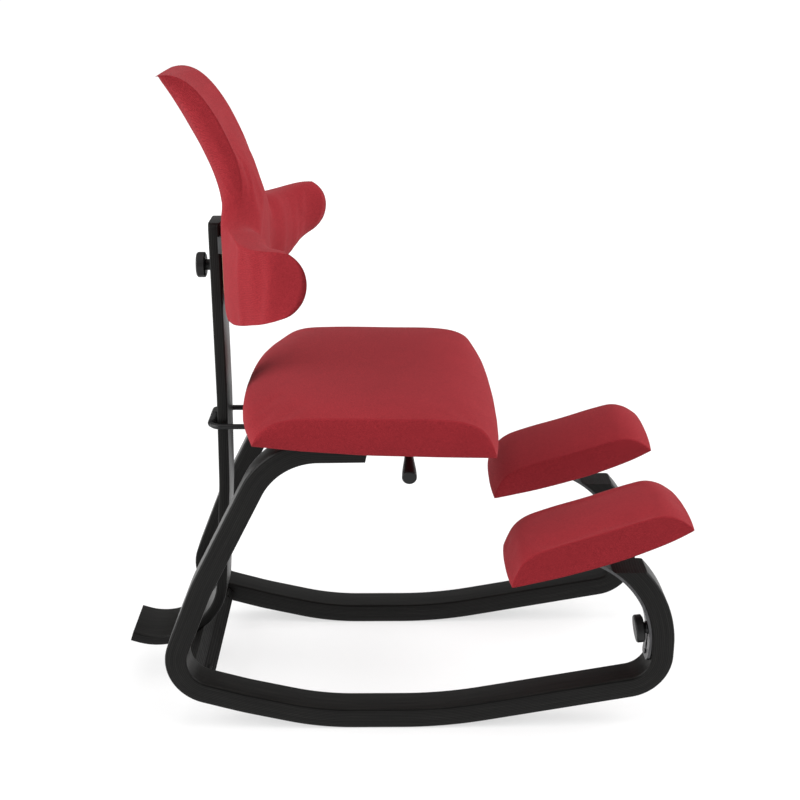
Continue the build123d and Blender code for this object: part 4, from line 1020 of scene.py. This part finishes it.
def build_backrest(name):
    verts = [tuple(p) for p in LR]
    front_id = {}
    for key, a in IDS.items():
        if on_seam(*key):
            front_id[key] = a
        else:
            front_id[key] = len(verts)
            verts.append(tuple(LF[a]))
    faces, creases = [], {}
    for (i, j) in IDS:
        q = [(i, j), (i + 1, j), (i + 1, j + 1), (i, j + 1)]
        if all(p in IDS for p in q):
            faces.append(tuple(IDS[p] for p in q))
            faces.append(tuple(front_id[p] for p in q[::-1]))
    seam_edges = set()
    for (i, j) in IDS:
        for d in ((1, 0), (0, 1)):
            k2 = (i + d[0], j + d[1])
            if k2 in IDS and on_seam(i, j) and on_seam(*k2):
                # real seam edges lie on the outline, not across a corner cell
                e = tuple(sorted((IDS[(i, j)], IDS[k2])))
                seam_edges.add(e)
    o = new_mesh(name, verts, faces)
    recalc(o)
    return o, {e: 1.0 for e in seam_edges}, front_id


back, bcr, front_id = build_backrest("backrest_cover")
print("backrest verts", len(back.data.vertices))
subdivide(back, 1, bcr, [IDS[(NC, NB + NU)], IDS[(-NC, NB + NU)]])
co = coords(back)


def seam_edges_of(o, limit=0.5):
    me = o.data
    at = me.attributes.get("crease_edge")
    out = []
    for e in me.edges:
        if at.data[e.index].value > limit:
            out.append(tuple(e.vertices))
    return out


se = seam_edges_of(back)
pins = np.zeros(len(co))
pins[sorted({v for e in se for v in e})] = 1.0
# the rear cover is drawn tight over the shell, the front one over the foam
cloth_settle(back, pins, pressure=3.0, cap_mm=4.0)
subdivide(back, 1)
back.data.materials.append(M_FAB)
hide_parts("backrest_cushion")
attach(back, "backrest")


# --------------------------------------------------------------------------
# stage, light, camera
# --------------------------------------------------------------------------
m_floor, nt, b = material("studio_floor")
b.inputs["Base Color"].default_value = (0.38, 0.38, 0.38, 1)
b.inputs["Roughness"].default_value = 0.9
b.inputs["Specular IOR Level"].default_value = 0.0
b.inputs["Emission Strength"].default_value = 1.0
# paper sweep: its own brightness rises with distance, where the lamps no longer reach
fco = nt.nodes.new("ShaderNodeTexCoord").outputs["Object"]
flen = N(nt, "ShaderNodeVectorMath", operation="LENGTH")
nt.links.new(fco, flen.inputs[0])
fr_ = N(nt, "ShaderNodeMapRange")
nt.links.new(flen.outputs["Value"], fr_.inputs["Value"])
fr_.inputs["From Min"].default_value = 1.2
fr_.inputs["From Max"].default_value = 4.0
nt.links.new(ramp(nt, fr_.outputs["Result"], [(0.0, (0.62, 0.62, 0.62)), (1.0, (1.0, 1.0, 1.0))]), b.inputs["Emission Color"])
bpy.ops.mesh.primitive_plane_add(size=60.0, location=(0, 0, -0.0005))
floor = bpy.context.object
floor.name = "floor"
floor.data.materials.append(m_floor)


def area(name, toward, dist, size, energy, color=(1, 1, 1)):
    ld = bpy.data.lights.new(name, "AREA")
    ld.shape = "DISK"
    ld.size = size
    ld.energy = energy
    ld.color = color
    o = link(bpy.data.objects.new(name, ld))
    d = Vector(toward).normalized()
    o.location = Vector((0, 0, 0.45)) + d * dist
    o.rotation_euler = (-d).to_track_quat("-Z", "Y").to_euler()
    return o


area("key_left", (-0.90, -0.36, 0.46), 4.0, 4.6, 235.0)
area("fill_right", (0.90, -0.05, 0.46), 4.0, 4.6, 228.0)
area("top_soft", (0.0, 0.05, 1.0), 4.5, 4.5, 96.0)
area("back_sheen", (0.0, 0.93, 0.40), 4.0, 3.4, 9.0)

world = bpy.data.worlds.new("studio")
scene.world = world
world.use_nodes = True
world.node_tree.nodes["Background"].inputs[0].default_value = (1, 1, 1, 1)
world.node_tree.nodes["Background"].inputs[1].default_value = 0.15

cam = bpy.data.cameras.new("camera")
cam.lens = 57.49
cam.sensor_width = 36.0
cam.dof.use_dof = False
cam.clip_end = 200.0
co_ = link(bpy.data.objects.new("camera", cam))
co_.location = (-0.00336, -1.80702, 1.11365)
co_.rotation_euler = (radians(70.0), 0, radians(-0.42))
scene.camera = co_
scene.view_settings.view_transform = "Standard"
scene.view_settings.look = "None"
scene.view_settings.exposure = 0.0
scene.view_settings.gamma = 1.0
